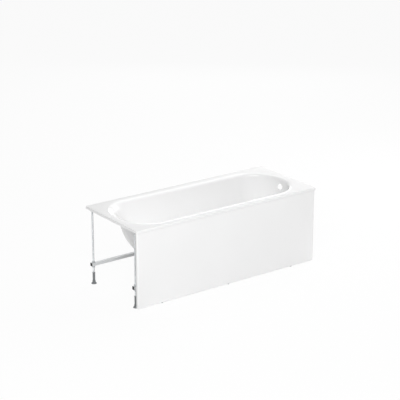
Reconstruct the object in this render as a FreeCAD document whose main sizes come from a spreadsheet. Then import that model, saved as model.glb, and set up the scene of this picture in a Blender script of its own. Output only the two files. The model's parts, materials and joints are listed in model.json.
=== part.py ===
# Built-in acrylic bathtub: a formed tub, the knock-down steel frame under it and a tilt-out front panel.
# Frame: millimetres, origin on the floor under the middle of the tub, +X along the tub towards the drain
# end, +Y towards the back, +Z up. The head end with the sloping backrest is at -X, the panel at -Y.

import FreeCAD
import Part
import Sketcher

import math
import os

# Driving dimensions: name, size in millimetres (angles in degrees), what it is
SIZES = [
    ("tub_length", 1700, "outside length of the rim"),
    ("tub_width", 700, "outside width of the rim"),
    ("rim_height", 620, "top of the rim above the floor"),
    ("sheet", 6, "thickness of the formed acrylic and resin laminate"),
    ("lip_height", 22, "height of the rim's turned-down lip"),
    ("rim_corner", 10, "corner radius of the rim seen from above"),
    ("rim_edge", 4, "rounding of the rim's top outer edge"),
    ("head_rim", 44, "rim at the head end, out from the bowl's mouth"),
    ("drain_rim", 75, "rim at the drain end, out from the bowl's mouth"),
    ("side_rim", 76, "rim along the sides, out from the bowl's mouth"),
    ("roll_radius", 28, "rolled edge from the rim into the bowl"),
    ("head_lean", 0.813, "horizontal run of the backrest as a share of the bowl's depth"),
    ("brow_drop", 0.17, "share of the bowl's depth down to the backrest's brow, where it turns steep"),
    ("brow_run", 0.255, "share of the backrest's run down to that brow"),
    ("back_drop", 0.60, "share of the bowl's depth down to the end of the backrest's steep part"),
    ("back_run", 0.46, "share of the backrest's run down to there"),
    ("sweep_drop", 0.81, "share of the bowl's depth down to the middle of the sweep into the floor"),
    ("sweep_run", 0.673, "share of the backrest's run down to there"),
    ("drain_run", 40, "horizontal run of the drain end's wall"),
    ("side_run", 64, "horizontal run of each side wall"),
    ("head_corner", 165, "corner radius of the bowl's mouth at the head end"),
    ("drain_corner", 250, "corner radius of the bowl's mouth at the drain end"),
    ("floor_corner", 140, "corner radius of the bowl's floor"),
    ("end_half_angle", 30, "half of the angle that the gentle arc at each end spans"),
    ("floor_round", 55, "rounding between the bowl's walls and floor"),
    ("drain_radius", 26, "radius of the drain hole"),
    ("drain_inset", 150, "drain's centre from the end of the floor"),
    ("drain_seat_radius", 43, "radius of the seat sunk around the drain hole"),
    ("drain_seat_depth", 2.5, "depth of that seat"),
    ("overflow_radius", 26, "radius of the overflow hole"),
    ("overflow_drop", 72, "overflow's centre below the rim"),
    ("board_middle", 70, "board's middle from the tub's middle, towards the drain"),
    ("board_length", 850, "length of the board under the bowl's floor"),
    ("board_width", 310, "width of that board"),
    ("board_thickness", 16, "thickness of that board"),
    ("rail_underside", 147, "underside of the long rails above the floor"),
    ("rail_size", 25, "side of the rails' square tube"),
    ("tube_wall", 1.5, "wall of the steel tubes"),
    ("tube_corner", 2.5, "outside corner radius of the steel tubes"),
    ("rail_end_inset", 4, "rail's end in from the rim's end"),
    ("bar_width", 40, "width of the cross bars' tube"),
    ("bar_height", 20, "height of the cross bars' tube"),
    ("bar_overhang", 22, "cross bar's end beyond the rail's middle"),
    ("bar_inset", 55, "cross bar's middle in from the board's end"),
    ("post_inset_x", 23, "corner post in from the rim's end"),
    ("post_inset_y", 60, "posts and rails in from the rim's side"),
    ("rod_radius", 7, "radius of the threaded posts and studs"),
    ("rod_foot", 40, "lower end of the rods above the floor"),
    ("rod_play", 0.05, "radial clearance of a thread"),
    ("hole_play", 0.6, "radial clearance of a rod or screw in a drilled tube"),
    ("rod_end_free", 4, "length of a stud beyond its top nut"),
    ("nut_flat", 22, "width across the flats of the nuts"),
    ("nut_height", 11, "height of the nuts"),
    ("washer_radius", 14, "radius of the washers"),
    ("washer_thickness", 2.5, "thickness of the washers"),
    ("cap_radius", 14, "radius of the cap between a post and the rim"),
    ("cap_height", 22, "height of that cap"),
    ("cap_roof", 6, "thickness of the cap above the post"),
    ("plug_head", 3, "thickness of a tube plug's head"),
    ("plug_depth", 8, "length of a tube plug inside the tube"),
    ("plug_play", 0.1, "clearance of a plug in its tube"),
    ("screw_radius", 2.5, "radius of the board screws"),
    ("screw_head_radius", 5, "radius of the board screws' heads"),
    ("screw_head_height", 3, "height of those heads"),
    ("screw_grip", 12, "length of a board screw inside the board"),
    ("screw_tip_gap", 1, "board's pilot hole beyond the screw's tip"),
    ("screw_place", 110, "board screws from the tub's centre line"),
    ("pad_radius", 21, "radius of a foot's pad"),
    ("pad_rim", 4, "height of the pad's upright edge"),
    ("pad_height", 12, "height of the pad"),
    ("pad_top_radius", 14, "radius of the pad's top"),
    ("pivot_radius", 8, "radius of the sleeve's pivot in the pad"),
    ("pivot_depth", 6, "depth of that pivot"),
    ("pivot_play", 0.08, "radial clearance of that pivot"),
    ("pivot_gap", 0.3, "gap under the sleeve's pivot and shoulder"),
    ("sleeve_top", 93, "top of the foot's threaded sleeve above the floor"),
    ("sleeve_radius", 10, "radius of the sleeve's neck"),
    ("sleeve_bore_floor", 18, "bottom of the sleeve's threaded bore above the floor"),
    ("key_flat", 24, "width across the flats of the sleeve's hexagon"),
    ("key_height", 12, "height of that hexagon"),
    ("panel_sheet", 4, "thickness of the panel's acrylic"),
    ("panel_return", 22, "depth of the panel's turned-back edges"),
    ("panel_end_gap", 1, "panel's end to the inside of the rim's lip"),
    ("panel_face_gap", 0.4, "panel's face to the inside of the rim's lip"),
    ("panel_tuck", 10, "height of the panel hidden behind the lip"),
    ("panel_floor_gap", 6, "panel's lower edge above the floor"),
    ("panel_edge", 12, "rounding of the panel's upright edges"),
    ("panel_low_edge", 6, "rounding of the panel's lower edge"),
    ("batten_thickness", 12, "thickness of the battens on the panel's back"),
    ("batten_width", 60, "width of those battens"),
    ("batten_end", 60, "battens' ends in from the panel's ends"),
    ("batten_low", 60, "middle of the lower batten above the floor"),
    ("batten_high", 88, "middle of the upper batten below the panel's upper edge"),
    ("glide_radius", 7, "radius of the panel's glides"),
    ("glide_inset", 0.5, "glides in from the rounding of the panel's lower edge"),
    ("glide_place", 620, "outer glides from the panel's middle"),
    ("catch_place", 580, "catches from the tub's middle"),
    ("clip_sheet", 1.2, "spring steel of the catch clips"),
    ("clip_width", 48, "width of the clip's back"),
    ("clip_height", 20, "height of the clips"),
    ("clip_reach", 24, "reach of the clip's two leaves"),
    ("flare_length", 6, "length of the leaves' flared ends"),
    ("flare_angle", 25, "angle of those ends to the leaves"),
    ("tongue_thickness", 3, "thickness of the panel's catch tongues"),
    ("tongue_play", 0.4, "tongue to each leaf of the clip"),
    ("tongue_overlap", 16, "length of the tongue inside the clip"),
    ("tongue_height", 16, "height of the tongues"),
    ("tongue_foot", 34, "side of the tongue's glued foot"),
    ("tongue_foot_thickness", 4, "thickness of that foot"),
    ("rivet_place", 15, "rivets from the clip's middle"),
    ("rivet_radius", 2, "radius of the rivets' shanks"),
    ("rivet_head_radius", 4, "radius of the rivets' heads"),
    ("rivet_head_height", 1.6, "height of the rivets' heads"),
    ("rivet_length", 8, "length of the rivets' shanks"),
]

OUT = "parts"
SHEET = "sizes"

doc = FreeCAD.newDocument("bathtub")
sizes = doc.addObject("Spreadsheet::Sheet", SHEET)
for row, (alias, size, meaning) in enumerate(SIZES, start=1):
    sizes.set(f"A{row}", alias)
    sizes.set(f"B{row}", str(size))
    sizes.setAlias(f"B{row}", alias)
    sizes.set(f"C{row}", meaning)
doc.recompute()

pieces = []  # the finished sub-parts, in order


# Expressions on the sheet


def sized(words):
    """The expression with each size's name pointed at the sheet."""
    names = {alias for alias, _, _ in SIZES}
    out, word = [], ""
    for char in words + " ":
        if char.isalnum() or char == "_":
            word += char
            continue
        out.append(f"{SHEET}.{word}" if word in names else word)
        out.append(char)
        word = ""
    return "".join(out).strip()


def number(words):
    """The expression's value now, for a sketch's first drawing and for finding edges."""
    value = sizes.evalExpression(sized(words))
    return float(getattr(value, "Value", value))


def bind(thing, **expressions):
    """Ties properties to the sheet; a double underscore stands for a dot."""
    for prop, words in expressions.items():
        thing.setExpression(prop.replace("__", "."), sized(str(words)))
    return thing


def at(thing, x, y, z):
    return bind(thing, Placement__Base__x=x, Placement__Base__y=y, Placement__Base__z=z)


# Places that several pieces share, as expressions

LIP_INSIDE = "(tub_width / 2 - sheet)"
LIP_ROUND = "(sheet * 0.48)"  # just under half of the sheet, so the lip's edge is almost a full round
RIM_UNDER = "(rim_height - sheet)"
LIP_BOTTOM = "(rim_height - lip_height)"
RAIL_TOP = "(rail_underside + rail_size)"
BAR_TOP = f"({RAIL_TOP} + bar_height)"
BOARD_TOP = f"({BAR_TOP} + board_thickness)"
FLOOR_TOP = f"({BOARD_TOP} + sheet)"
BOWL_DEPTH = f"(rim_height - {FLOOR_TOP})"
HEAD_RUN = f"(head_lean * {BOWL_DEPTH})"
MOUTH_HEAD = "(-tub_length / 2 + head_rim)"
MOUTH_DRAIN = "(tub_length / 2 - drain_rim)"
MOUTH_HALF = "(tub_width / 2 - side_rim)"
FLOOR_DRAIN = f"({MOUTH_DRAIN} - drain_run)"
DRAIN_X = f"({FLOOR_DRAIN} - drain_inset)"
DRAIN_WALL_LEAN = f"(90 deg - atan(drain_run / {BOWL_DEPTH}))"
RAIL_Y = "(tub_width / 2 - post_inset_y)"
POST_X = "(tub_length / 2 - post_inset_x)"
PANEL_FACE = f"(-{LIP_INSIDE} + panel_face_gap)"
PANEL_BACK = f"({PANEL_FACE} + panel_sheet)"
PANEL_TOP = f"({LIP_BOTTOM} + panel_tuck)"
PANEL_HALF = "(tub_length / 2 - sheet - panel_end_gap)"
RAIL_FRONT = f"(-{RAIL_Y} - rail_size / 2)"

BOWL_LEVELS = [
    ("mouth", "0", "0"),
    ("brow", "brow_drop", "brow_run"),
    ("back", "back_drop", "back_run"),
    ("sweep", "sweep_drop", "sweep_run"),
    ("floor", "1", "1"),
]
ENDS = {"head": -1, "drain": 1}
SIDES = {"front": -1, "back": 1}
BAR_X = {
    "head": "(board_middle - board_length / 2 + bar_inset)",
    "drain": "(board_middle + board_length / 2 - bar_inset)",
}


# Small builders


def make(kind, label):
    thing = doc.addObject(kind, label)
    thing.Label = label
    return thing


def keep(thing):
    """Counts an object as a finished sub-part."""
    pieces.append(thing)
    return thing


def box(label, x, y, z, length, width, height):
    """A block centred on x and y, standing on z."""
    block = bind(make("Part::Box", label), Length=length, Width=width, Height=height)
    return at(block, f"{x} - ({length}) / 2", f"{y} - ({width}) / 2", z)


def cylinder(label, x, y, z, radius, height):
    return at(bind(make("Part::Cylinder", label), Radius=radius, Height=height), x, y, z)


def hexagon(label, x, y, z, flats, height):
    prism = make("Part::Prism", label)
    prism.Polygon = 6
    bind(prism, Circumradius=f"({flats}) / 2 / cos(30)", Height=height)
    return at(prism, x, y, z)


def fuse(label, *shapes):
    joined = make("Part::MultiFuse", label)
    joined.Shapes = list(shapes)
    return joined


def cut(label, base, *tools):
    made = make("Part::Cut", label)
    made.Base = base
    made.Tool = tools[0] if len(tools) == 1 else group(f"{label}_tools", tools)
    return made


def group(label, members):
    """Separate solids in one node."""
    together = make("Part::Compound", label)
    together.Links = list(members)
    return together


def ring(label, x, y, z, radius, bore, height):
    """A round piece with a hole through it."""
    disc = cylinder(f"{label}_disc", x, y, z, radius, height)
    return cut(label, disc, cylinder(f"{label}_bore", x, y, z, bore, height))


# Sketches of the tub and the panel


def plane(body, role):
    return next(f for f in body.Origin.OriginFeatures if f.Role == role)


def sketch_at(body, name, level, role="XY_Plane"):
    sketch = body.newObject("Sketcher::SketchObject", name)
    sketch.AttachmentSupport = (plane(body, role), [""])
    sketch.MapMode = "FlatFace"
    bind(sketch, AttachmentOffset__Base__z=level)
    return sketch


def constrain(sketch, name, words, *rule):
    """Adds a named constraint whose value follows the sheet."""
    index = sketch.addConstraint(Sketcher.Constraint(*rule, number(words)))
    sketch.renameConstraint(index, name)
    sketch.setExpression(f"Constraints.{name}", sized(words))


def arc(x, y, radius, start, end):
    """An arc from start to end, in degrees, anticlockwise."""
    circle = Part.Circle(FreeCAD.Vector(x, y, 0), FreeCAD.Vector(0, 0, 1), radius)
    return Part.ArcOfCircle(circle, math.radians(start), math.radians(end))


def line(x1, y1, x2, y2):
    return Part.LineSegment(FreeCAD.Vector(x1, y1, 0), FreeCAD.Vector(x2, y2, 0))


def chain(sketch, geometry):
    """Draws a closed outline whose neighbours are tangent, and returns its indices."""
    ids = [sketch.addGeometry(item) for item in geometry]
    for first, second in zip(ids, ids[1:] + ids[:1]):
        sketch.addConstraint(Sketcher.Constraint("Tangent", first, 2, second, 1))
    return ids


def rounded_rectangle(sketch, length, width, radius):
    """A rectangle about the origin with four equal round corners."""
    a, b, r = number(length) / 2, number(width) / 2, number(radius)
    ids = chain(
        sketch,
        [
            line(a - r, b, r - a, b),
            arc(r - a, b - r, r, 90, 180),
            line(-a, b - r, -a, r - b),
            arc(r - a, r - b, r, 180, 270),
            line(r - a, -b, a - r, -b),
            arc(a - r, r - b, r, 270, 360),
            line(a, r - b, a, b - r),
            arc(a - r, b - r, r, 0, 90),
        ],
    )
    back, _, left, _, front, _, right, corner = ids
    for side in (back, front):
        sketch.addConstraint(Sketcher.Constraint("Horizontal", side))
    for other in ids[1:7:2]:
        sketch.addConstraint(Sketcher.Constraint("Equal", corner, other))
    constrain(sketch, "radius", radius, "Radius", corner)
    constrain(sketch, "half_length", f"({length}) / 2", "DistanceX", -1, 1, right, 1)
    constrain(sketch, "half_length_left", f"({length}) / 2", "DistanceX", left, 1, -1, 1)
    constrain(sketch, "half_width", f"({width}) / 2", "DistanceY", -1, 1, back, 1)
    constrain(sketch, "half_width_front", f"({width}) / 2", "DistanceY", front, 1, -1, 1)


def bowl_outline(sketch, head, drain, half, head_corner, drain_corner):
    """Straight sides and two blunt round ends: each end is a gentle arc between two corner arcs.

    The gentle arcs span the same angle at every level, so walls drawn between two such
    outlines stay tangent from one face to the next.
    """
    turn = number("end_half_angle")
    head_arc = f"(({head_corner}) + (({half}) - ({head_corner})) / sin(end_half_angle))"
    drain_arc = f"(({drain_corner}) + (({half}) - ({drain_corner})) / sin(end_half_angle))"
    head_joint = f"(({head}) + {head_arc} * (1 - cos(end_half_angle)))"
    drain_joint = f"(({drain}) - {drain_arc} * (1 - cos(end_half_angle)))"
    b, hc, dc = number(half), number(head_corner), number(drain_corner)
    hr, dr = number(head_arc), number(drain_arc)
    hx = number(f"({head}) + {head_arc} - ({head_arc} - ({head_corner})) * cos(end_half_angle)")
    dx = number(f"({drain}) - {drain_arc} + ({drain_arc} - ({drain_corner})) * cos(end_half_angle)")
    ids = chain(
        sketch,
        [
            line(dx, b, hx, b),
            arc(hx, b - hc, hc, 90, 180 - turn),
            arc(number(head) + hr, 0, hr, 180 - turn, 180 + turn),
            arc(hx, hc - b, hc, 180 + turn, 270),
            line(hx, -b, dx, -b),
            arc(dx, dc - b, dc, 270, 360 - turn),
            arc(number(drain) - dr, 0, dr, -turn, turn),
            arc(dx, b - dc, dc, turn, 90),
        ],
    )
    back, head_back, head_end, head_front, front, drain_front, drain_end, drain_back = ids
    for side in (back, front):
        sketch.addConstraint(Sketcher.Constraint("Horizontal", side))
    for end in (head_end, drain_end):
        sketch.addConstraint(Sketcher.Constraint("PointOnObject", end, 3, -1))
    sketch.addConstraint(Sketcher.Constraint("Equal", head_back, head_front))
    sketch.addConstraint(Sketcher.Constraint("Equal", drain_back, drain_front))
    constrain(sketch, "head_corner", head_corner, "Radius", head_back)
    constrain(sketch, "drain_corner", drain_corner, "Radius", drain_back)
    constrain(sketch, "head_arc", head_arc, "Radius", head_end)
    constrain(sketch, "drain_arc", drain_arc, "Radius", drain_end)
    constrain(sketch, "head_joint", f"-{head_joint}", "DistanceX", head_end, 1, -1, 1)
    constrain(sketch, "drain_joint", drain_joint, "DistanceX", -1, 1, drain_end, 1)
    constrain(sketch, "half_back", half, "DistanceY", -1, 1, back, 1)
    constrain(sketch, "half_front", half, "DistanceY", front, 1, -1, 1)


def round_hole(sketch, x, radius):
    hole = sketch.addGeometry(
        Part.Circle(FreeCAD.Vector(number(x), 0, 0), FreeCAD.Vector(0, 0, 1), number(radius))
    )
    sketch.addConstraint(Sketcher.Constraint("PointOnObject", hole, 3, -1))
    constrain(sketch, "radius", radius, "Radius", hole)
    constrain(sketch, "place", x, "DistanceX", -1, 1, hole, 3)


def middle(edge):
    return edge.valueAt((edge.FirstParameter + edge.LastParameter) / 2)


def fillet(body, name, base, radius, test):
    """Rounds the edges whose middle point passes the test."""
    doc.recompute()
    edges = enumerate(base.Shape.Edges, start=1)
    chosen = [f"Edge{index}" for index, edge in edges if test(middle(edge))]
    rounded = body.newObject("PartDesign::Fillet", name)
    rounded.Base = (base, chosen)
    return bind(rounded, Radius=radius)


def near(value, target):
    return abs(value - target) < 0.01


# The tub: rim with a turned-down lip, and a bowl with a sloping backrest


def bowl_loft(body, kind, name, skin):
    """The bowl's surface through an outline at each level, grown by the thickness of its skin."""
    outlines = []
    for level, drop, run in BOWL_LEVELS:
        sketch = sketch_at(body, f"{name}_{level}", f"rim_height - {drop} * ({BOWL_DEPTH} + {skin})")
        bowl_outline(
            sketch,
            f"{MOUTH_HEAD} + {run} * {HEAD_RUN} - {skin}",
            f"{MOUTH_DRAIN} - {drop} * drain_run + {skin}",
            f"{MOUTH_HALF} - {drop} * side_run + {skin}",
            f"head_corner + {drop} * (floor_corner - head_corner) + {skin}",
            f"drain_corner + {drop} * (floor_corner - drain_corner) + {skin}",
        )
        outlines.append(sketch)
    loft = body.newObject(kind, name)
    loft.Profile = outlines[0]
    loft.Sections = outlines[1:]
    return loft


def tub_shell():
    body = make("PartDesign::Body", "tub_shell")
    rim_top, rim_under = number("rim_height"), number(RIM_UNDER)
    lip_bottom, bowl_floor, bowl_under = number(LIP_BOTTOM), number(FLOOR_TOP), number(BOARD_TOP)
    inside_x, inside_y = number("tub_length / 2 - head_rim / 2"), number("tub_width / 2 - side_rim / 2")

    def mouth_edge(point, level):
        return near(point.z, level) and abs(point.x) < inside_x and abs(point.y) < inside_y

    outline = sketch_at(body, "rim_outline", "rim_height")
    rounded_rectangle(outline, "tub_length", "tub_width", "rim_corner")
    rim = body.newObject("PartDesign::Pad", "rim_block")
    rim.Profile = outline
    rim.Reversed = True
    bind(rim, Length="lip_height")
    fillet(body, "rim_edge_round", rim, "rim_edge", lambda p: near(p.z, rim_top))

    hollow = sketch_at(body, "rim_hollow_outline", RIM_UNDER)
    rounded_rectangle(hollow, "tub_length - 2 * sheet", "tub_width - 2 * sheet", "rim_corner - sheet")
    under = body.newObject("PartDesign::Pocket", "rim_hollow")
    under.Profile = hollow
    bind(under, Length="lip_height")
    fillet(body, "lip_edge_round", under, LIP_ROUND, lambda p: near(p.z, lip_bottom))

    outside = bowl_loft(body, "PartDesign::AdditiveLoft", "bowl_outside", "sheet")
    fillet(body, "shoulder_round", outside, "roll_radius - sheet", lambda p: mouth_edge(p, rim_under))

    inside = bowl_loft(body, "PartDesign::SubtractiveLoft", "bowl_inside", "0")
    roll = fillet(body, "rolled_edge", inside, "roll_radius", lambda p: mouth_edge(p, rim_top))
    hull = fillet(body, "floor_edge_round", roll, "floor_round", lambda p: near(p.z, bowl_floor))
    fillet(body, "outer_floor_round", hull, "floor_round + sheet", lambda p: near(p.z, bowl_under))

    seat = sketch_at(body, "drain_seat_outline", FLOOR_TOP)
    round_hole(seat, DRAIN_X, "drain_seat_radius")
    sunk = body.newObject("PartDesign::Pocket", "drain_seat")
    sunk.Profile = seat
    bind(sunk, Length="drain_seat_depth")
    drain = sketch_at(body, "drain_outline", FLOOR_TOP)
    round_hole(drain, DRAIN_X, "drain_radius")
    hole = body.newObject("PartDesign::Pocket", "drain_hole")
    hole.Profile = drain
    bind(hole, Length=f"{FLOOR_TOP} - {BAR_TOP}")

    # The overflow hole stands square to the drain end's wall.
    spill = sketch_at(body, "overflow_outline", "rim_height - overflow_drop")
    tilt = FreeCAD.Rotation(FreeCAD.Vector(0, -1, 0), number(DRAIN_WALL_LEAN))
    spill.AttachmentOffset = FreeCAD.Placement(FreeCAD.Vector(), tilt)
    bind(
        spill,
        AttachmentOffset__Base__x=f"{MOUTH_DRAIN} - overflow_drop * drain_run / {BOWL_DEPTH}",
        AttachmentOffset__Base__z="rim_height - overflow_drop",
        AttachmentOffset__Rotation__Angle=DRAIN_WALL_LEAN,
    )
    round_hole(spill, "0", "overflow_radius")
    overflow = body.newObject("PartDesign::Pocket", "overflow_hole")
    overflow.Profile = spill
    overflow.Midplane = True
    bind(overflow, Length="overflow_radius")
    doc.recompute()
    return keep(body)


# The frame: two long rails, two cross bars on them, four posts up to the rim and four short studs


def lying(label, x, y, z, radius, length):
    """A cylinder centred on z that runs along +Y from y."""
    bar = bind(make("Part::Cylinder", label), Radius=radius, Height=length)
    bar.Placement.Rotation = FreeCAD.Rotation(FreeCAD.Vector(-1, 0, 0), 90)
    return at(bar, x, y, z)


def rod_places():
    """Name, x and y of the four corner posts and the four studs where bars cross rails."""
    for side, across in SIDES.items():
        for end, along in ENDS.items():
            yield f"post_{end}_{side}", f"{along} * {POST_X}", f"{across} * {RAIL_Y}"
            yield f"stud_{end}_{side}", BAR_X[end], f"{across} * {RAIL_Y}"


def catch_places():
    for end, along in ENDS.items():
        yield end, f"({along} * catch_place)"


def rounded_bar(label, role, across, level, length, width, height):
    """A bar with rounded long edges, middled on the plane it is drawn on and standing on the level."""
    body = make("PartDesign::Body", label)
    section = sketch_at(body, f"{label}_section", "0", role)
    bind(
        section,
        AttachmentOffset__Base__x=across,
        AttachmentOffset__Base__y=f"{level} + ({height}) / 2",
    )
    rounded_rectangle(section, width, height, "tube_corner")
    run = body.newObject("PartDesign::Pad", f"{label}_run")
    run.Profile = section
    run.Midplane = True
    bind(run, Length=length)
    doc.recompute()
    return body


def rail(side):
    label, y = f"rail_{side}", f"{SIDES[side]} * {RAIL_Y}"
    length = "tub_length - 2 * rail_end_inset"
    hollow = "rail_size - 2 * tube_wall"
    outside = rounded_bar(
        f"{label}_outside", "YZ_Plane", y, "rail_underside", length, "rail_size", "rail_size"
    )
    inside = box(f"{label}_inside", "0", y, "rail_underside + tube_wall", length, hollow, hollow)
    bore, rivet_bore = "rod_radius + hole_play", "rivet_radius + rod_play"
    holes = [
        cylinder(f"{label}_hole_{name}", x, y, "rail_underside", bore, "rail_size")
        for name, x, rod_y in rod_places()
        if name.endswith(side)
    ]
    if side == "front":
        holes += [
            lying(f"rivet_hole_{name}", x, RAIL_FRONT, CLIP_MIDDLE, rivet_bore, "tube_wall * 2")
            for name, x in rivet_places()
        ]
    keep(cut(label, cut(f"{label}_tube", outside, inside), *holes))


def cross_bar(end):
    label, x = f"cross_bar_{end}", BAR_X[end]
    length = f"2 * ({RAIL_Y} + bar_overhang)"
    outside = rounded_bar(
        f"{label}_outside", "XZ_Plane", x, RAIL_TOP, length, "bar_width", "bar_height"
    )
    inside = box(
        f"{label}_inside",
        x,
        "0",
        f"{RAIL_TOP} + tube_wall",
        "bar_width - 2 * tube_wall",
        length,
        "bar_height - 2 * tube_wall",
    )
    stud_bore, screw_bore = "rod_radius + hole_play", "screw_radius + hole_play"
    holes = []
    for side, across in SIDES.items():
        stud_y, screw_y = f"{across} * {RAIL_Y}", f"{across} * screw_place"
        holes.append(cylinder(f"{label}_stud_{side}", x, stud_y, RAIL_TOP, stud_bore, "bar_height"))
        holes.append(cylinder(f"{label}_screw_{side}", x, screw_y, RAIL_TOP, screw_bore, "bar_height"))
    keep(cut(label, cut(f"{label}_tube", outside, inside), *holes))


def rods():
    post_top = f"{RIM_UNDER} - cap_roof"
    stud_top = f"{BAR_TOP} + washer_thickness + nut_height + rod_end_free"
    for label, x, y in rod_places():
        top = post_top if label.startswith("post") else stud_top
        keep(cylinder(label, x, y, "rod_foot", "rod_radius", f"{top} - rod_foot"))


def rim_caps():
    """Cups on the posts' tops that carry the rim."""
    cups = []
    bottom, fit, depth = f"{RIM_UNDER} - cap_height", "rod_radius + rod_play", "cap_height - cap_roof"
    for name, x, y in rod_places():
        if name.startswith("post"):
            cup = cylinder(f"cap_{name}", x, y, bottom, "cap_radius", "cap_height")
            bore = cylinder(f"cap_bore_{name}", x, y, bottom, fit, depth)
            cups.append(cut(f"rim_cap_{name}", cup, bore))
    keep(group("rim_caps", cups))


def nuts_and_washers():
    """A nut and a washer above and below every joint of a rod with the frame."""
    nuts, washers = [], []
    under, hole = "rail_underside - washer_thickness", "rod_radius + hole_play"
    for name, x, y in rod_places():
        seat = RAIL_TOP if name.startswith("post") else BAR_TOP
        places = {
            "over": (seat, f"{seat} + washer_thickness"),
            "under": (under, f"{under} - nut_height"),
        }
        for where, (washer_z, nut_z) in places.items():
            label = f"{name}_{where}"
            washers.append(
                ring(f"washer_{label}", x, y, washer_z, "washer_radius", hole, "washer_thickness")
            )
            block = hexagon(f"nut_block_{label}", x, y, nut_z, "nut_flat", "nut_height")
            bore = cylinder(f"nut_bore_{label}", x, y, nut_z, "rod_radius + rod_play", "nut_height")
            nuts.append(cut(f"nut_{label}", block, bore))
    keep(group("frame_nuts", nuts))
    keep(group("frame_washers", washers))


def tube_plugs():
    """Plastic plugs in the tubes' open ends."""
    in_rail = "rail_size - 2 * tube_wall - 2 * plug_play"
    in_bar = "bar_width - 2 * tube_wall - 2 * plug_play"
    in_bar_height = "bar_height - 2 * tube_wall - 2 * plug_play"
    rail_end = "(tub_length / 2 - rail_end_inset)"
    bar_end = f"({RAIL_Y} + bar_overhang)"
    rail_plugs, bar_plugs = [], []
    for side, across in SIDES.items():
        for end, along in ENDS.items():
            label, y = f"{end}_{side}", f"{across} * {RAIL_Y}"
            head = box(
                f"rail_plug_head_{label}",
                f"{along} * ({rail_end} + plug_head / 2)",
                y,
                "rail_underside",
                "plug_head",
                "rail_size",
                "rail_size",
            )
            stem = box(
                f"rail_plug_stem_{label}",
                f"{along} * ({rail_end} - plug_depth / 2)",
                y,
                "rail_underside + tube_wall + plug_play",
                "plug_depth",
                in_rail,
                in_rail,
            )
            rail_plugs.append(fuse(f"rail_plug_{label}", head, stem))
            head = box(
                f"bar_plug_head_{label}",
                BAR_X[end],
                f"{across} * ({bar_end} + plug_head / 2)",
                RAIL_TOP,
                "bar_width",
                "plug_head",
                "bar_height",
            )
            stem = box(
                f"bar_plug_stem_{label}",
                BAR_X[end],
                f"{across} * ({bar_end} - plug_depth / 2)",
                f"{RAIL_TOP} + tube_wall + plug_play",
                in_bar,
                "plug_depth",
                in_bar_height,
            )
            bar_plugs.append(fuse(f"bar_plug_{label}", head, stem))
    keep(group("rail_plugs", rail_plugs))
    keep(group("cross_bar_plugs", bar_plugs))


def base_board():
    """The stiffening board under the bowl's floor and the screws that hold the cross bars to it."""
    slab = box("board_slab", "board_middle", "0", BAR_TOP, "board_length", "board_width", "board_thickness")
    pilot, pilot_depth = "screw_radius + rod_play", "screw_grip + screw_tip_gap"
    head_z, shank_length = f"{RAIL_TOP} - screw_head_height", "bar_height + screw_grip"
    holes, screws = [], []
    for end, x in BAR_X.items():
        for side, across in SIDES.items():
            label, y = f"{end}_{side}", f"{across} * screw_place"
            holes.append(cylinder(f"board_hole_{label}", x, y, BAR_TOP, pilot, pilot_depth))
            head = cylinder(f"screw_head_{label}", x, y, head_z, "screw_head_radius", "screw_head_height")
            shank = cylinder(f"screw_shank_{label}", x, y, RAIL_TOP, "screw_radius", shank_length)
            screws.append(fuse(f"screw_{label}", head, shank))
    keep(cut("base_board", slab, *holes))
    keep(group("board_screws", screws))


# The feet: a pad that stands still on the floor and a hexagon-headed sleeve that screws along the rod


def foot(name, x, y):
    upright = cylinder(f"pad_edge_{name}", x, y, "0", "pad_radius", "pad_rim")
    slope = bind(
        make("Part::Cone", f"pad_slope_{name}"),
        Radius1="pad_radius",
        Radius2="pad_top_radius",
        Height="pad_height - pad_rim",
    )
    at(slope, x, y, "pad_rim")
    socket_depth = "(pivot_depth + pivot_gap)"
    socket_z, socket_radius = f"pad_height - {socket_depth}", "pivot_radius + pivot_play"
    socket = cylinder(f"pad_socket_{name}", x, y, socket_z, socket_radius, socket_depth)
    keep(cut(f"foot_pad_{name}", fuse(f"pad_block_{name}", upright, slope), socket))

    shoulder = "(pad_height + pivot_gap)"
    pivot_z = "pad_height - pivot_depth"
    pivot = cylinder(f"pivot_{name}", x, y, pivot_z, "pivot_radius", socket_depth)
    key = hexagon(f"key_{name}", x, y, shoulder, "key_flat", "key_height")
    neck = cylinder(f"neck_{name}", x, y, shoulder, "sleeve_radius", f"sleeve_top - {shoulder}")
    fit, bore_depth = "rod_radius + rod_play", "sleeve_top - sleeve_bore_floor"
    bore = cylinder(f"sleeve_bore_{name}", x, y, "sleeve_bore_floor", fit, bore_depth)
    keep(cut(f"foot_sleeve_{name}", fuse(f"sleeve_block_{name}", pivot, key, neck), bore))


# The front panel: a formed sheet with turned-back edges, tucked behind the lip and held by two catches

CLIP_MIDDLE = "(rail_underside + rail_size / 2)"
CLIP_FRONT = f"({RAIL_FRONT} - clip_sheet)"


def rivet_places():
    for end, x in catch_places():
        for hand, away in {"near": -1, "far": 1}.items():
            yield f"{end}_{hand}", f"{x} + {away} * rivet_place"


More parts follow.
